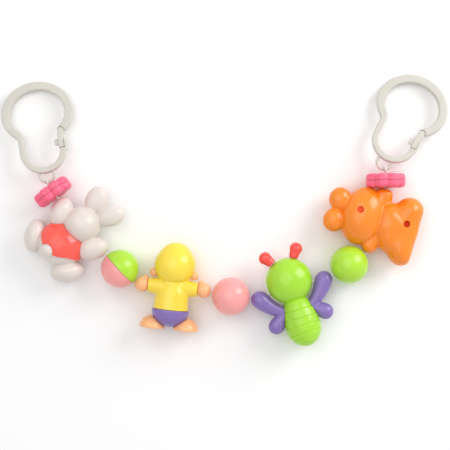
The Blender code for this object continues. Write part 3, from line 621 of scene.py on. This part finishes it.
BALLS = [
    ("two_tone_ball", (0, 1, 0), (("green_half", "ball_green"), ("pink_half", "ball_pink"))),
    ("pink_ball", (0, 0, 1), (("back_half", "ball_pink"), ("front_half", "ball_pink"))),
    ("green_ball", (0, 0, 1), (("back_half", "ball_green"), ("front_half", "ball_green"))),
]

DISC_THICKNESS = 10.9
DISC_CORE_RADIUS = 13.4
LOBES = 8
LOBE_CENTRES = 11.0
LOBE_RADIUS = BALL_RADIUS - LOBE_CENTRES * cos(pi / LOBES)
SEAM_DEPTH = 0.12
SEAM_WIDTH = 1.0
RECESS_RADIUS = 3.6
RECESS_DEPTH = 2.0


def build_balls():
    for bead, across, halves in BALLS:
        place = bead_place(bead)
        whole = cut(egg(((0, 0, 0), (BALL_RADIUS, BALL_RADIUS, BALL_RADIUS))), bore())
        across = Vector(across)
        for side, (half, slot) in zip((BACK, FRONT), halves):
            shell = slice_off(copy_of(whole), across * side * GAP / 2, -across * side)
            show(shell, f"{bead}_{half}_look", place, bead, slot, [f"{bead}_{half}"], 50)
        bpy.data.objects.remove(whole)


def build_discs():
    half = DISC_THICKNESS / 2
    fields = [pill_field((0, 0, 0), DISC_CORE_RADIUS, half - 0.4, 6)]
    seeds = [rod((-half + 1, 0, 0), (half - 1, 0, 0), LOBE_CENTRES, 48)]
    for angle in turns(LOBES):
        y, z = LOBE_CENTRES * cos(angle), LOBE_CENTRES * sin(angle)
        fields.append(pill_field((0, y, z), LOBE_RADIUS, half, 4))
        seeds.append(rod((-half + 1, y, z), (half - 1, y, z), LOBE_RADIUS - 0.5, 16))
    lobed = together(0.8, *fields)

    def field(p):
        """The lobed disc, with a soft groove where its halves meet."""
        return lobed(p) + SEAM_DEPTH * np.maximum(0, 1 - np.abs(p[:, 0]) / SEAM_WIDTH) ** 2

    for bead, outer in (("left_disc", -1), ("right_disc", 1)):
        place = bead_place(bead)
        whole = mould([copy_of(seed) for seed in seeds], field, 0.45)
        for side in (-1, 1):
            floor, top = side * (half - RECESS_DEPTH), side * (half + RECESS_DEPTH)
            whole = cut(whole, rod((floor, 0, 0), (top, 0, 0), RECESS_RADIUS, 48))
        cut(whole, bore())
        for side, name in ((outer, "outer_half"), (-outer, "inner_half")):
            node = f"{bead}_{name}"
            shell = slice_off(copy_of(whole), (side * GAP / 2, 0, 0), (-side, 0, 0))
            show(shell, f"{node}_look", place, bead, "disc_pink", [node], 50)
        bpy.data.objects.remove(whole)
    for seed in seeds:
        bpy.data.objects.remove(seed)


# Rabbit

def leaning(x, y, z, semi, lean):
    """A left and a right lump that lean away from each other."""
    return [((side * x, y, z), semi, 90 - side * lean) for side in (-1, 1)]


RABBIT_TORSO = ((0, -23, 0), (18, 17, 13.5), 0)
RABBIT_HEAD = ((-1, 0.7, 0), (14.6, 14.6, 14.6), 0)
RABBIT_HANDS = leaning(18.7, -5.5, 0, (12.7, 9.0, 9), 28)
RABBIT_EARS = leaning(8.4, 22, 0, (11.4, 8.4, 5.5), 23)
RABBIT_FEET = leaning(19, -33, -3, (13.4, 8.6, 11.5), 35)
RABBIT_TAIL = ((-2.5, -31.4, 9.5), (5.9, 5.9, 5.4), 0)
RABBIT_NOSE = ((-1, -2.0, -13.2), (2.6, 2.0, 1.7), 0)
VEST_RISE = 1.2
VEST_TOP = [(-24, -19.5), (-24, -10), (-14, 0), (14, 0), (24, -10), (24, -20.5)]
VEST_HEM = [
    (18.4, -20.5), (14.2, -22.8), (9.5, -26.5), (5.4, -29.9), (0.7, -31.8), (-4.4, -32.2),
    (-9.0, -31.4), (-13.2, -29.5), (-16.6, -26.1), (-18.5, -21.3),
]


def rabbit_vest(side):
    """A raised panel on the torso, cut to its outline and clear of the limbs around it."""
    vest = cut(ellipsoid(*grown(RABBIT_TORSO, VEST_RISE), 96, 48), pocket(RABBIT_TORSO))
    low, high = (2, 30) if side == BACK else (-30, -2)
    outline = [*VEST_TOP, *smooth_path(VEST_HEM, 5)]
    vest = combine(vest, [prism(outline[::-1], low, high)], "INTERSECT")
    around = [RABBIT_HEAD, *RABBIT_HANDS, *RABBIT_FEET]
    if side == BACK:
        around.append(RABBIT_TAIL)
    return cut(vest, *[pocket(lump) for lump in around])


def build_rabbit():
    place = bead_place("rabbit")
    lumps = [RABBIT_TORSO, RABBIT_HEAD, *RABBIT_HANDS, *RABBIT_EARS, *RABBIT_FEET, RABBIT_TAIL]
    seeds = [ellipsoid(*lump, 32, 16) for lump in lumps]
    seeds.append(ellipsoid(*RABBIT_NOSE, 16, 8))
    field = together(0.9, *[ball_field(*lump) for lump in (*lumps, RABBIT_NOSE)])
    whole = mould(seeds, field)
    cut(whole, bore())
    for side, name in HALVES:
        node = f"rabbit_{name}_shell"
        show(keep_side(copy_of(whole), side), f"{node}_look", place, "rabbit", "rabbit_white", [node])
        node = f"rabbit_{name}_vest"
        show(rabbit_vest(side), f"{node}_look", place, "rabbit", "vest_red", [node], 30)
    bpy.data.objects.remove(whole)
    show_eyes("rabbit", "rabbit_white", (-1, 3.0, -13.1), 5.2, (1.4, 1.8, 0.9))


# Child

HOOD = ((0, 17.6, 0), (16.3, 16.0, 14.7), 0)
PEAK = ((0, 27.2, 0), (10.2, 8.4, 9.0), 0)
FACE = ((0, 17.6, 0), (13.8, 13.7, 12.5), 0)
FACE_DEPTH = 4
FACE_OPENING = (10.0, 12.0)
FACE_OPENING_CENTRE = 17.3
EAR = (15.9, 10.6)
EAR_RADIUS = 3.5
CUFF = 19.4
WRIST_RADIUS = 2.5
THUMB = (22.2, 5.2)
THUMB_SEMI = (2.6, 2.6, 2.8)
SHIRT_HEM = -17.4
PANTS = ((0, -18, 0), (14.7, 13.4, 12.5), 0)
CHILD_SOLE = -33.3


def child_shells(place):
    """Hood and shirt in two halves, with room for the ears, the wrists and the face."""
    shirt = limb_field([(0, -6.5, 13.0, 10.9), (0, -34, 14.6, 12.2)])
    sleeves = [limb_field([(side * 24.5, 0, 4.4, 4.4), (0, 0, 9.0, 9.0)]) for side in (-1, 1)]
    hood = together(3.0, ball_field(*HOOD), ball_field(*PEAK))
    field = together(0.8, together(1.2, shirt, *sleeves), hood)
    seeds = [ellipsoid(*HOOD, 32, 16), ellipsoid(*PEAK, 24, 12), box((-13, -34, -10), (13, 4, 10))]
    seeds.append(rod((-24, 0, 0), (24, 0, 0), 5.2, 24))
    whole = mould(seeds, field)
    slice_off(whole, (0, SHIRT_HEM, 0), (0, -1, 0))
    for side in (-1, 1):
        slice_off(whole, (side * CUFF, 0, 0), (side, 0, 0))
    room = EAR_RADIUS + GAP
    ears = [ellipsoid((side * EAR[0], EAR[1], 0), (room, room, room), 0, 32, 16) for side in (-1, 1)]
    sockets = [rod((side * 14, 0, 0), (side * 21, 0, 0), WRIST_RADIUS + GAP) for side in (-1, 1)]
    cut(whole, *ears, *sockets)
    for side, name in HALVES:
        shell = keep_side(copy_of(whole), side)
        if side == FRONT:
            wide, tall = FACE_OPENING
            ring = [2 * pi * i / 64 for i in range(64)]
            oval = [(wide * cos(a), FACE_OPENING_CENTRE + tall * sin(a)) for a in ring]
            shell = cut(shell, rings_object([[Vector((x, y, z)) for x, y in oval] for z in (-9.0, -20.0)]))
        node = f"child_{name}_shell"
        show(shell, f"{node}_look", place, "child", "hood_yellow", [node])
    bpy.data.objects.remove(whole)


def child_face(place):
    """The face with its nose, joined to both ears through the hood."""
    face = slice_off(ellipsoid(*FACE), (0, 0, -FACE_DEPTH), (0, 0, 1))
    x, y = EAR
    for side in (-1, 1):
        face = join(face, ellipsoid((side * x, y, 0), (EAR_RADIUS, EAR_RADIUS, EAR_RADIUS), 0, 40, 20))
    face = join(face, box((-15.5, y - 1.5, -5.5), (15.5, y + 1.5, 1.5)))
    face = join(face, ellipsoid((0, 15.0, -12.4), (1.8, 1.5, 1.6), 0, 24, 12))
    show(face, "child_face_look", place, "child", "skin", ["child_face"])
    show_eyes("child", "skin", (0, 18.0, -11.9), 4.6, (1.1, 1.5, 0.8))


def child_hand(side):
    thumb = (side * THUMB[0], THUMB[1], 0)
    palm_field = ball_field((side * (CHILD_REACH - 6.2), 0, 0), (6, 6, 6))
    seeds = [ellipsoid((side * (CHILD_REACH - 6), 0, 0), (6, 6, 6), 0, 32, 16)]
    seeds.append(ellipsoid(thumb, THUMB_SEMI, 0, 16, 8))
    hand = mould(seeds, together(1.0, palm_field, ball_field(thumb, THUMB_SEMI)), 0.35)
    slice_off(hand, (side * (CUFF + GAP), 0, 0), (-side, 0, 0))
    hand = join(hand, rod((side * 14.6, 0, 0), (side * 21, 0, 0), WRIST_RADIUS))
    return cut(hand, bore())


def build_child():
    place = bead_place("child")
    child_shells(place)
    child_face(place)
    for side, name in SIDES:
        node = f"child_{name}_hand"
        show(child_hand(side), f"{node}_look", place, "child", "skin", [node])
    pants = flat_egg(PANTS, (0, SHIRT_HEM - GAP, 0), (0, 1, 0), 0.7)
    show(pants, "child_pants_look", place, "child", "purple", ["child_pants"])
    for side, name in SIDES:
        lump = ((side * 13.4, CHILD_SOLE, -3), (10.2, 9.8, 11.5), 0)
        foot = cut(flat_egg(lump, (0, CHILD_SOLE, 0), (0, -1, 0), 0.8), pocket(PANTS))
        node = f"child_{name}_foot"
        show(foot, f"{node}_look", place, "child", "skin", [node])


# Bug

BUG_HEAD = ((0, 6, 0), (18.3, 18.3, 14.8), 0)
BUG_FACE = ((-0.6, 6.3, 0), (18.6, 18.6, 14.8), 0)
ABDOMEN_TOP = -4.2
ABDOMEN_TIP = -47.6
ABDOMEN_WAIST = -31
ABDOMEN_LENGTHS = (27.3, 16.6)
ABDOMEN_RADIUS = 14.1
ABDOMEN_FLATNESS = 0.93
GROOVES = (-17.0, -23.5, -29.8, -36.0, -41.0)
GROOVE_DEPTH = 0.5
GROOVE_REACH = 0.55


def abdomen_radius(y):
    """A smooth egg, without its grooves. Its two ends have their own length."""
    length = ABDOMEN_LENGTHS[0] if y >= ABDOMEN_WAIST else ABDOMEN_LENGTHS[1]
    return ABDOMEN_RADIUS * sqrt(max(0, 1 - ((y - ABDOMEN_WAIST) / length) ** 2))


def bug_abdomen(grow=0.0, grooved=True):
    """The grooved tail, or the tool that cuts room for it."""
    profile = [(0.0, ABDOMEN_TOP)]
    count = 150
    for k in range(1, count):
        y = ABDOMEN_TOP + (ABDOMEN_TIP - ABDOMEN_TOP) * k / count
        radius = abdomen_radius(y)
        if grooved:
            for groove in GROOVES:
                radius -= GROOVE_DEPTH * max(0.0, 1 - abs(y - groove) / GROOVE_REACH) ** 1.3
        profile.append((radius + grow, y))
    profile.append((0.0, ABDOMEN_TIP - grow))
    return turned(profile, "Y", 96, ABDOMEN_FLATNESS)


def bug_wing(side):
    """A double wing, seated against the head, the face and the abdomen."""
    upper = smooth_path([
        (side * 10.5, -17.0, 3.8, 4.4),
        (side * 16.0, -13.4, 4.3, 4.8),
        (side * 21.6, -8.0, 5.6, 5.5),
        (side * (BUG_REACH - 7.3), -1.2, 6.9, 6.2),
    ], 4)
    lower = smooth_path([
        (side * 10.5, -17.8, 3.6, 4.2),
        (side * 15.6, -21.4, 4.5, 4.8),
        (side * 20.4, -25.6, 6.2, 5.6),
    ], 4)
    field = together(1.0, limb_field(upper), limb_field(lower))
    wing = mould(limb_seeds(upper) + limb_seeds(lower), field, 0.5)
    return cut(wing, pocket(BUG_FACE), pocket(BUG_HEAD), bug_abdomen(GAP, False), bore())


def bug_feeler(side):
    path = [
        (side * 7.6, 20.6, 2.7, 2.7),
        (side * 9.6, 24.0, 3.4, 3.4),
        (side * 12.7, 28.6, 5.1, 5.0),
    ]
    seeds = limb_seeds([(x, y, width, width) for x, y, width, _ in path])
    feeler = mould(seeds, limb_field(path), 0.35)
    return cut(feeler, pocket(BUG_HEAD), pocket(BUG_FACE))


def build_bug():
    place = bead_place("bug")
    back = keep_side(join(egg(BUG_HEAD), bug_abdomen()), BACK)
    show(cut(back, bore()), "bug_back_shell_look", place, "bug", "bug_green", ["bug_back_shell"], 28)
    front = cut(keep_side(bug_abdomen(), FRONT), pocket(BUG_FACE))
    show(front, "bug_front_shell_look", place, "bug", "bug_green", ["bug_front_shell"], 28)
    face = cut(keep_side(egg(BUG_FACE), FRONT), bore())
    show(face, "bug_face_look", place, "bug", "face_cream", ["bug_face"])
    show_eyes("bug", "face_cream", (-0.6, 9.5, -13.6), 5.4, (1.8, 2.6, 1.0))
    for side, name in SIDES:
        node = f"bug_{name}_wing"
        show(bug_wing(side), f"{node}_look", place, "bug", "purple", [node])
        node = f"bug_{name}_feeler"
        show(bug_feeler(side), f"{node}_look", place, "bug", "feeler_red", [node])


# Bear

BEAR_SOLE = -33.6
BEAR_HEAD = [
    ((0.9, 11.2, 0), (23.4, 17.0, 14.7), 0),
    ((-8.6, 32.0, 0), (9.4, 8.8, 7.0), 0),
    ((8.6, 32.0, 0), (9.4, 8.8, 7.0), 0),
]
BEAR_BODY = [
    ((-0.3, -13.2, 0), (17.0, 15.2, 12.8), 0),
    ((2.5, -7.0, 0), (14.8, 8.5, 11.0), 0),
    ((-11.5, -13.5, 0), (9.8, 8.5, 10.5), 0),
    ((-2.2, -25.3, 0), (18.0, 10.6, 11.2), 0),
    ((-16.2, -24.2, 0), (13.4, 10.4, 11.7), 27),
    ((14.4, -23.5, 0), (11.3, 11.3, 11.8), 0),
]
BEAR_NOSE = ((0.7, 7.5, -13.0), (5.2, 4.0, 2.0), 0)

# Radius, half-length and squareness of the hand beside the ball and of the one beside the disc
BEAR_HANDS = {-1: (6.4, 6.6, 2.2), 1: (6.9, 7.0, 3.2)}

# Place of each post's hole in the back, and the height of its floor
POSTS = ((4.7, 15.6, 11.4), (4.1, -22.6, 5.4))
POST_HOLE_RADIUS = 2.7
PEG_RADIUS = 2.5


def build_bear():
    place = bead_place("bear")
    fields = [ball_field(*lump) for lump in BEAR_HEAD]
    fields.append(together(4.5, *[ball_field(*lump) for lump in BEAR_BODY]))
    seeds = [ellipsoid(*lump, 32, 16) for lump in BEAR_HEAD + BEAR_BODY]
    for side, shape in BEAR_HANDS.items():
        hand = (side * (BEAR_REACH - 7), -0.6, 0)
        arm = limb_field([(side * 4, -6.4, 6.2, 6.2), (hand[0], hand[1], 6.0, 6.0)])
        fields.append(together(1.0, arm, pill_field(hand, *shape)))
        seeds.append(rod((side * 4, -6, 0), hand, 6.0, 24))
        seeds.append(ellipsoid(hand, (7.0, 6.8, 6.8), 0, 24, 12))
    fields.append(ball_field(*BEAR_NOSE))
    seeds.append(ellipsoid(*BEAR_NOSE, 16, 8))
    seeds.append(box((-12, -33, -5), (12, -20, 5)))
    sole, down = (0, BEAR_SOLE, 0), (0, -1, 0)
    for seed in seeds:
        slice_off(seed, sole, down)
    whole = mould(seeds, within(1.0, together(1.4, *fields), plane_field(sole, down)))
    cut(whole, bore())
    for side, name in HALVES:
        shell = keep_side(copy_of(whole), side)
        if side == BACK:
            for x, y, top in POSTS:
                shell = cut(shell, rod((x, y, top), (x, y, 30), POST_HOLE_RADIUS, 48))
        node = f"bear_{name}_shell"
        show(shell, f"{node}_look", place, "bear", "bear_orange", [node], 45)
    bpy.data.objects.remove(whole)
    for index, (x, y, top) in enumerate(POSTS):
        profile = [(0, top - 1.5), (PEG_RADIUS, top - 1.5), (PEG_RADIUS, top + 0.35)]
        profile += [(PEG_RADIUS - 0.3, top + 0.6), (0, top + 0.6)]
        peg = turned(profile, "Z", 40)
        peg.data.transform(Matrix.Translation((x, y, 0)))
        # Each peg is coloured a deeper red than the shell, as painted shade at the bottom of its hole
        show(peg, f"bear_peg_{index + 1}", place, "bear", "bear_orange", material="peg_painted_shade")
    show_eyes("bear", "bear_orange", (0.7, 13.5, -13.6), 7.5, (1.5, 1.9, 0.9))


# Clips. The big loop has a half-width, a height above its centre and a height below it

CLIP_THICKNESS = 5.5
LOOP_CENTRE = 50.4
LOOP_OUTER = (28.95, 26.4, 23.6)
LOOP_INNER = (22.0, 19.5, 18.3)
ARC_STEP = 2.5
NECK_STEPS = 9
BOW_STEPS = 64
BOW_CENTRE = 20.2
BOW_OUTER = 18.6
BOW_INNER = 13.8
LEDGE_HEIGHT = 19.8
STOP_HEIGHT = 26.6
HINGE = (16.4, 34.0)
KNUCKLE_RADIUS = 2.6
CHEEK_RADIUS = 2.5
PIN_RADIUS = 1.0
PIN_HOLE_RADIUS = 1.3
TONGUE_WIDTH = 2.2
TAB_REACH = 3.0
EYE_RADIUS = 5.7
EYE_WIRE_RADIUS = 1.2
CORD_LOOP_RADIUS = EYE_WIRE_RADIUS + GAP + CORD_RADIUS
RIBBON_SQUARENESS = 5.0


def clip_place(name):
    """A clip's place; its loop of cord may grip the eye a little to one side."""
    swing = JOINTS[f"{name}_clip_swing"]
    gate = JOINTS[f"{name}_gate_hinge"]
    x = Vector(swing["axis"]).normalized()
    z = Vector(gate["axis"]).normalized()
    y = z.cross(x)
    place = Matrix((x, y, z)).transposed().to_4x4()
    place.translation = Vector(swing["pos_m"]) + y * EYE_RADIUS * MM
    hinge = place.inverted() @ Vector(gate["pos_m"])
    skew = atan2(hinge.y, hinge.x) - atan2(HINGE[1], HINGE[0])
    return place @ Matrix.Rotation(skew, 4, "Z")


def loop_arc(semi, start, end):
    """Points round the big loop, from one angle in degrees to another."""
    count = ceil(abs(end - start) / ARC_STEP) + 1
    points = []
    for i in range(count):
        angle = radians(start + (end - start) * i / (count - 1))
        height = semi[1] if sin(angle) > 0 else semi[2]
        points.append(Vector((semi[0] * cos(angle), LOOP_CENTRE + height * sin(angle))))
    return points


def blended(values, reach):
    """Each value averaged with its neighbours, so that two arcs meet without a kink."""
    count = len(values)
    made = []
    for k in range(count):
        span = min(reach, k, count - 1 - k)
        near = values[k - span:k + span + 1]
        made.append(sum(near, Vector((0, 0))) / len(near))
    return made


def clip_ribbon():
    """Outer and inner edges of the hook, from the hinge round both loops to the ledge."""
    outer = loop_arc(LOOP_OUTER, -45.4, 230.4)
    inner = loop_arc(LOOP_INNER, -51, 231)
    inner = [inner[round(i * (len(inner) - 1) / (len(outer) - 1))] for i in range(len(outer))]
    top_outer, top_inner = outer[-1], inner[-1]
    low_outer, low_inner = Vector((-BOW_OUTER, BOW_CENTRE)), Vector((-BOW_INNER, BOW_CENTRE))
    for k in range(1, NECK_STEPS):
        outer.append(top_outer.lerp(low_outer, k / NECK_STEPS))
        inner.append(top_inner.lerp(low_inner, k / NECK_STEPS))
    ledge = degrees(atan2(LEDGE_HEIGHT - BOW_CENTRE, BOW_INNER))
    for k in range(BOW_STEPS + 1):
        turn = k / BOW_STEPS
        outer_angle = radians(180 + 177 * turn)
        inner_angle = radians(180 + (180 + ledge) * turn)
        outer.append(Vector((BOW_OUTER * cos(outer_angle), BOW_CENTRE + BOW_OUTER * sin(outer_angle))))
        inner.append(Vector((BOW_INNER * cos(inner_angle), BOW_CENTRE + BOW_INNER * sin(inner_angle))))
    return blended(outer, 2), blended(inner, 2)


def squared(value):
    """A sine or cosine pushed out towards the side of a square."""
    return abs(value) ** (2 / RIBBON_SQUARENESS) * (1 if value > 0 else -1)


def ribbon_section(outer, inner):
    """One soft-cornered cross-section between the outer and the inner edge."""
    middle = (outer + inner) / 2
    across = (outer - inner) / 2
    ring = []
    for angle in turns(36):
        point = middle + across * squared(cos(angle))
        ring.append(Vector((point.x, point.y, CLIP_THICKNESS / 2 * squared(sin(angle)))))
    return ring


def hinge_rod(radius, low, high, sides=40):
    """A round bar on the gate's hinge line."""
    return rod((*HINGE, low), (*HINGE, high), radius, sides)


def clip_eye():
    """The wire under the bow that the cord's loop grips."""
    shoulder = BOW_CENTRE - sqrt(BOW_OUTER ** 2 - EYE_RADIUS ** 2) + EYE_WIRE_RADIUS
    path = [(EYE_RADIUS, shoulder, 0), (EYE_RADIUS, 0.6, 0)]
    for i in range(33):
        angle = radians(-180.0 * i / 32)
        path.append((EYE_RADIUS * cos(angle), EYE_RADIUS * sin(angle), 0))
    path += [(-EYE_RADIUS, 0.6, 0), (-EYE_RADIUS, shoulder, 0)]
    return tube(path, EYE_WIRE_RADIUS, 20)


def clip_frame():
    """The hook's ribbon with its knuckle, the stop above the ledge and the eye."""
    half = CLIP_THICKNESS / 2
    tongue = TONGUE_WIDTH / 2
    clip = rings_object([ribbon_section(a, b) for a, b in zip(*clip_ribbon())])
    clip = cut(clip, hinge_rod(KNUCKLE_RADIUS + GAP, -2 * half, 2 * half))
    low = LEDGE_HEIGHT
    stop = [(17.0, low - 2.5), (18.5, low - 2.5), (19.1, low + 1.0), (19.3, low + 3.5)]
    stop += [(19.3, STOP_HEIGHT), (17.6, STOP_HEIGHT), (17.6, low)]
    clip = join(clip, rounded_plate(stop, CLIP_THICKNESS - 0.5, 0.4, 3))
    x, y = HINGE
    neck = [(x - 1.8, y + 0.4), (x + 2.0, y - 0.9), (x + 3.8, y + 3.7), (x - 0.4, y + 5.2)]
    clip = join(clip, prism(neck, -tongue, tongue), hinge_rod(KNUCKLE_RADIUS, -tongue, tongue))
    clip = cut(clip, hinge_rod(PIN_HOLE_RADIUS, -half, half, 24))
    return join(clip, clip_eye())


def clip_gate():
    """The gate's bar with its finger tab, and a moulded pin between its two cheeks."""
    tongue = TONGUE_WIDTH / 2
    x, y = HINGE
    low = LEDGE_HEIGHT + GAP
    inner = BOW_INNER - 0.8
    bar = [(inner, low), (17.3, low), (17.3, STOP_HEIGHT), (x + CHEEK_RADIUS, y - 1.1)]
    for k in range(13):
        angle = radians(-10 + 190 * k / 12)
        bar.append((x + CHEEK_RADIUS * cos(angle), y + CHEEK_RADIUS * sin(angle)))
    bar += [(x - 2.8, y - 1.2), (inner + 0.1, STOP_HEIGHT + 2.0)]
    gate = rounded_plate(bar, CLIP_THICKNESS, 0.9)
    middle = LEDGE_HEIGHT + 5.1
    rim = [(inner - TAB_REACH, 1.6), (inner - TAB_REACH + 0.5, 2.4), (inner + 1, 2.6)]
    tab = [(across, middle - up) for across, up in rim] + [(across, middle + up) for across, up in rim[::-1]]
    gate = join(gate, rounded_plate(tab, 3.0, 0.5, 3))
    gate = cut(gate, hinge_rod(KNUCKLE_RADIUS + 2 * GAP, -tongue - GAP, tongue + GAP))
    for side in (-1, 1):
        gate = join(gate, hinge_rod(PIN_RADIUS, side * 0.4, side * (tongue + GAP + 0.5), 24))
    return gate


def build_clip(name):
    place = clip_place(name)
    node = f"{name}_clip_frame"
    show(clip_frame(), f"{node}_look", place, f"{name}_clip", "clip_white", [node], 45)
    node = f"{name}_clip_gate"
    show(clip_gate(), f"{node}_look", place, f"{name}_gate", "clip_white", [node], 45)


# Cord

# The loose end, from the knot in the right disc: distance out of the disc's face, and across it
LOOSE_END = [
    (-2.6, 0, 0), (-1.6, -0.6, 0.3), (-0.6, -1.5, 1.0), (0.9, -2.4, 1.7),
    (1.9, -4.6, 2.3), (2.2, -7.6, 2.6), (2.2, -11.0, 2.7), (2.0, -14.8, 2.7),
]


def rounded_cord(start, end):
    """A straight length with ball ends, whose middles lie at start and end."""
    cap = [pi / 2 * k / 8 for k in range(1, 9)]
    profile = [(0.0, start - CORD_RADIUS)]
    profile += [(CORD_RADIUS * sin(a), start - CORD_RADIUS * cos(a)) for a in cap]
    profile += [(CORD_RADIUS * sin(a), end + CORD_RADIUS * cos(a)) for a in cap[::-1]]
    profile.append((0.0, end + CORD_RADIUS))
    return turned(profile, "X", 24)


def build_cord():
    """One length inside each bead, from bend to bend, and a loop round each clip's eye."""
    bent = ["left_loop", *[bead for bead in BEADS if bead != "pink_ball"], "right_loop"]
    bends = [JOINTS[f"{name}_bend"]["pos_m"] for name in bent]
    for index, bead in enumerate(BEADS):
        place = bead_place(bead)
        home = place.inverted()
        start = (home @ Vector(bends[index])).x / MM
        end = (home @ Vector(bends[index + 1])).x / MM
        if index == 0:
            start += GAP / 2 + CORD_RADIUS
        if index == len(BEADS) - 1:
            end -= GAP / 2 + CORD_RADIUS
        piece = rounded_cord(start, end)
        if bead == "right_disc":
            route = smooth_path([(DISC_THICKNESS / 2 + x, y, z) for x, y, z in LOOSE_END], 6)
            piece = join(piece, tube(route, CORD_RADIUS * 0.8, 16))
        node = f"cord_{index + 1:02d}_{bead}"
        show(piece, f"{node}_look", place, frame["nodes"][node]["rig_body"], "cord_clear", [node])
    for name in ("left", "right"):
        swing = JOINTS[f"{name}_clip_swing"]
        place = upright(swing["pos_m"], swing["axis"])
        angles = [2 * pi * i / 48 for i in range(48)]
        ring = [(0, CORD_LOOP_RADIUS * cos(a), CORD_LOOP_RADIUS * sin(a)) for a in angles]
        loop = tube(ring, CORD_RADIUS, 16, True)
        node = f"cord_{name}_loop"
        show(loop, f"{node}_look", place, f"cord_{name}_end", "cord_clear", [node])


# Floor, light and camera

FLOOR_HALF = 4
FLOOR_DROP = 0.0002
WORLD_STRENGTH = 0.62
CAMERA_AT = (0.0004, -0.0124, 0.915)
CAMERA_LENS = 91.0


def build_floor():
    h = FLOOR_HALF
    mesh = bpy.data.meshes.new("floor")
    mesh.from_pydata([(-h, -h, 0), (h, -h, 0), (h, h, 0), (-h, h, 0)], [], [(0, 1, 2, 3)])
    floor = bpy.data.objects.new("floor", mesh)
    bpy.context.scene.collection.objects.link(floor)
    floor.location.z = -FLOOR_DROP
    material = bpy.data.materials.new("floor_white")
    material.use_nodes = True
    shader = material.node_tree.nodes["Principled BSDF"]
    shader.inputs["Base Color"].default_value = (0.97, 0.97, 0.97, 1)
    shader.inputs["Roughness"].default_value = 0.9
    shader.inputs["Specular IOR Level"].default_value = 0.1
    floor.data.materials.append(material)


def build_world():
    """White where the camera or a reflection sees it, and softer as a light."""
    world = bpy.data.worlds.new("studio")
    bpy.context.scene.world = world
    world.use_nodes = True
    tree = world.node_tree
    tree.nodes.clear()
    rays = tree.nodes.new("ShaderNodeLightPath")
    soft = tree.nodes.new("ShaderNodeBackground")
    soft.inputs["Color"].default_value = (1, 1, 1, 1)
    soft.inputs["Strength"].default_value = WORLD_STRENGTH
    white = tree.nodes.new("ShaderNodeBackground")
    white.inputs["Color"].default_value = (1, 1, 1, 1)
    mix = tree.nodes.new("ShaderNodeMixShader")
    out = tree.nodes.new("ShaderNodeOutputWorld")
    seen = rays.outputs["Is Camera Ray"]
    for kind in ("Is Glossy Ray", "Is Transmission Ray"):
        either = tree.nodes.new("ShaderNodeMath")
        either.operation = "MAXIMUM"
        link(tree, seen, either.inputs[0])
        link(tree, rays.outputs[kind], either.inputs[1])
        seen = either.outputs["Value"]
    link(tree, seen, mix.inputs["Fac"])
    link(tree, soft.outputs["Background"], mix.inputs[1])
    link(tree, white.outputs["Background"], mix.inputs[2])
    link(tree, mix.outputs["Shader"], out.inputs["Surface"])


def softbox(name, direction, distance, size, power):
    """A rectangular lamp that faces the toy from one direction."""
    lamp = bpy.data.lights.new(name, "AREA")
    lamp.shape = "RECTANGLE"
    lamp.size, lamp.size_y = size
    lamp.energy = power
    holder = bpy.data.objects.new(name, lamp)
    bpy.context.scene.collection.objects.link(holder)
    toward = Vector(direction).normalized()
    holder.location = toward * distance
    holder.rotation_mode = "QUATERNION"
    holder.rotation_quaternion = toward.to_track_quat("Z", "Y")


def build_camera():
    lens = bpy.data.cameras.new("camera")
    lens.sensor_width = 36.0
    lens.lens = CAMERA_LENS
    lens.clip_start = 0.01
    lens.clip_end = 20.0
    camera = bpy.data.objects.new("camera", lens)
    bpy.context.scene.collection.objects.link(camera)
    camera.location = CAMERA_AT
    bpy.context.scene.camera = camera


build_balls()
build_discs()
build_rabbit()
build_child()
build_bug()
build_bear()
build_clip("left")
build_clip("right")
build_cord()
build_floor()
build_world()
softbox("key", (0.727, 0.468, 0.50), 1.3, (0.66, 0.82), 8.5)
softbox("overhead", (-0.25, 0.2, 1.0), 1.6, (1.4, 1.4), 8.0)
build_camera()
bpy.context.scene.view_settings.view_transform = "Standard"
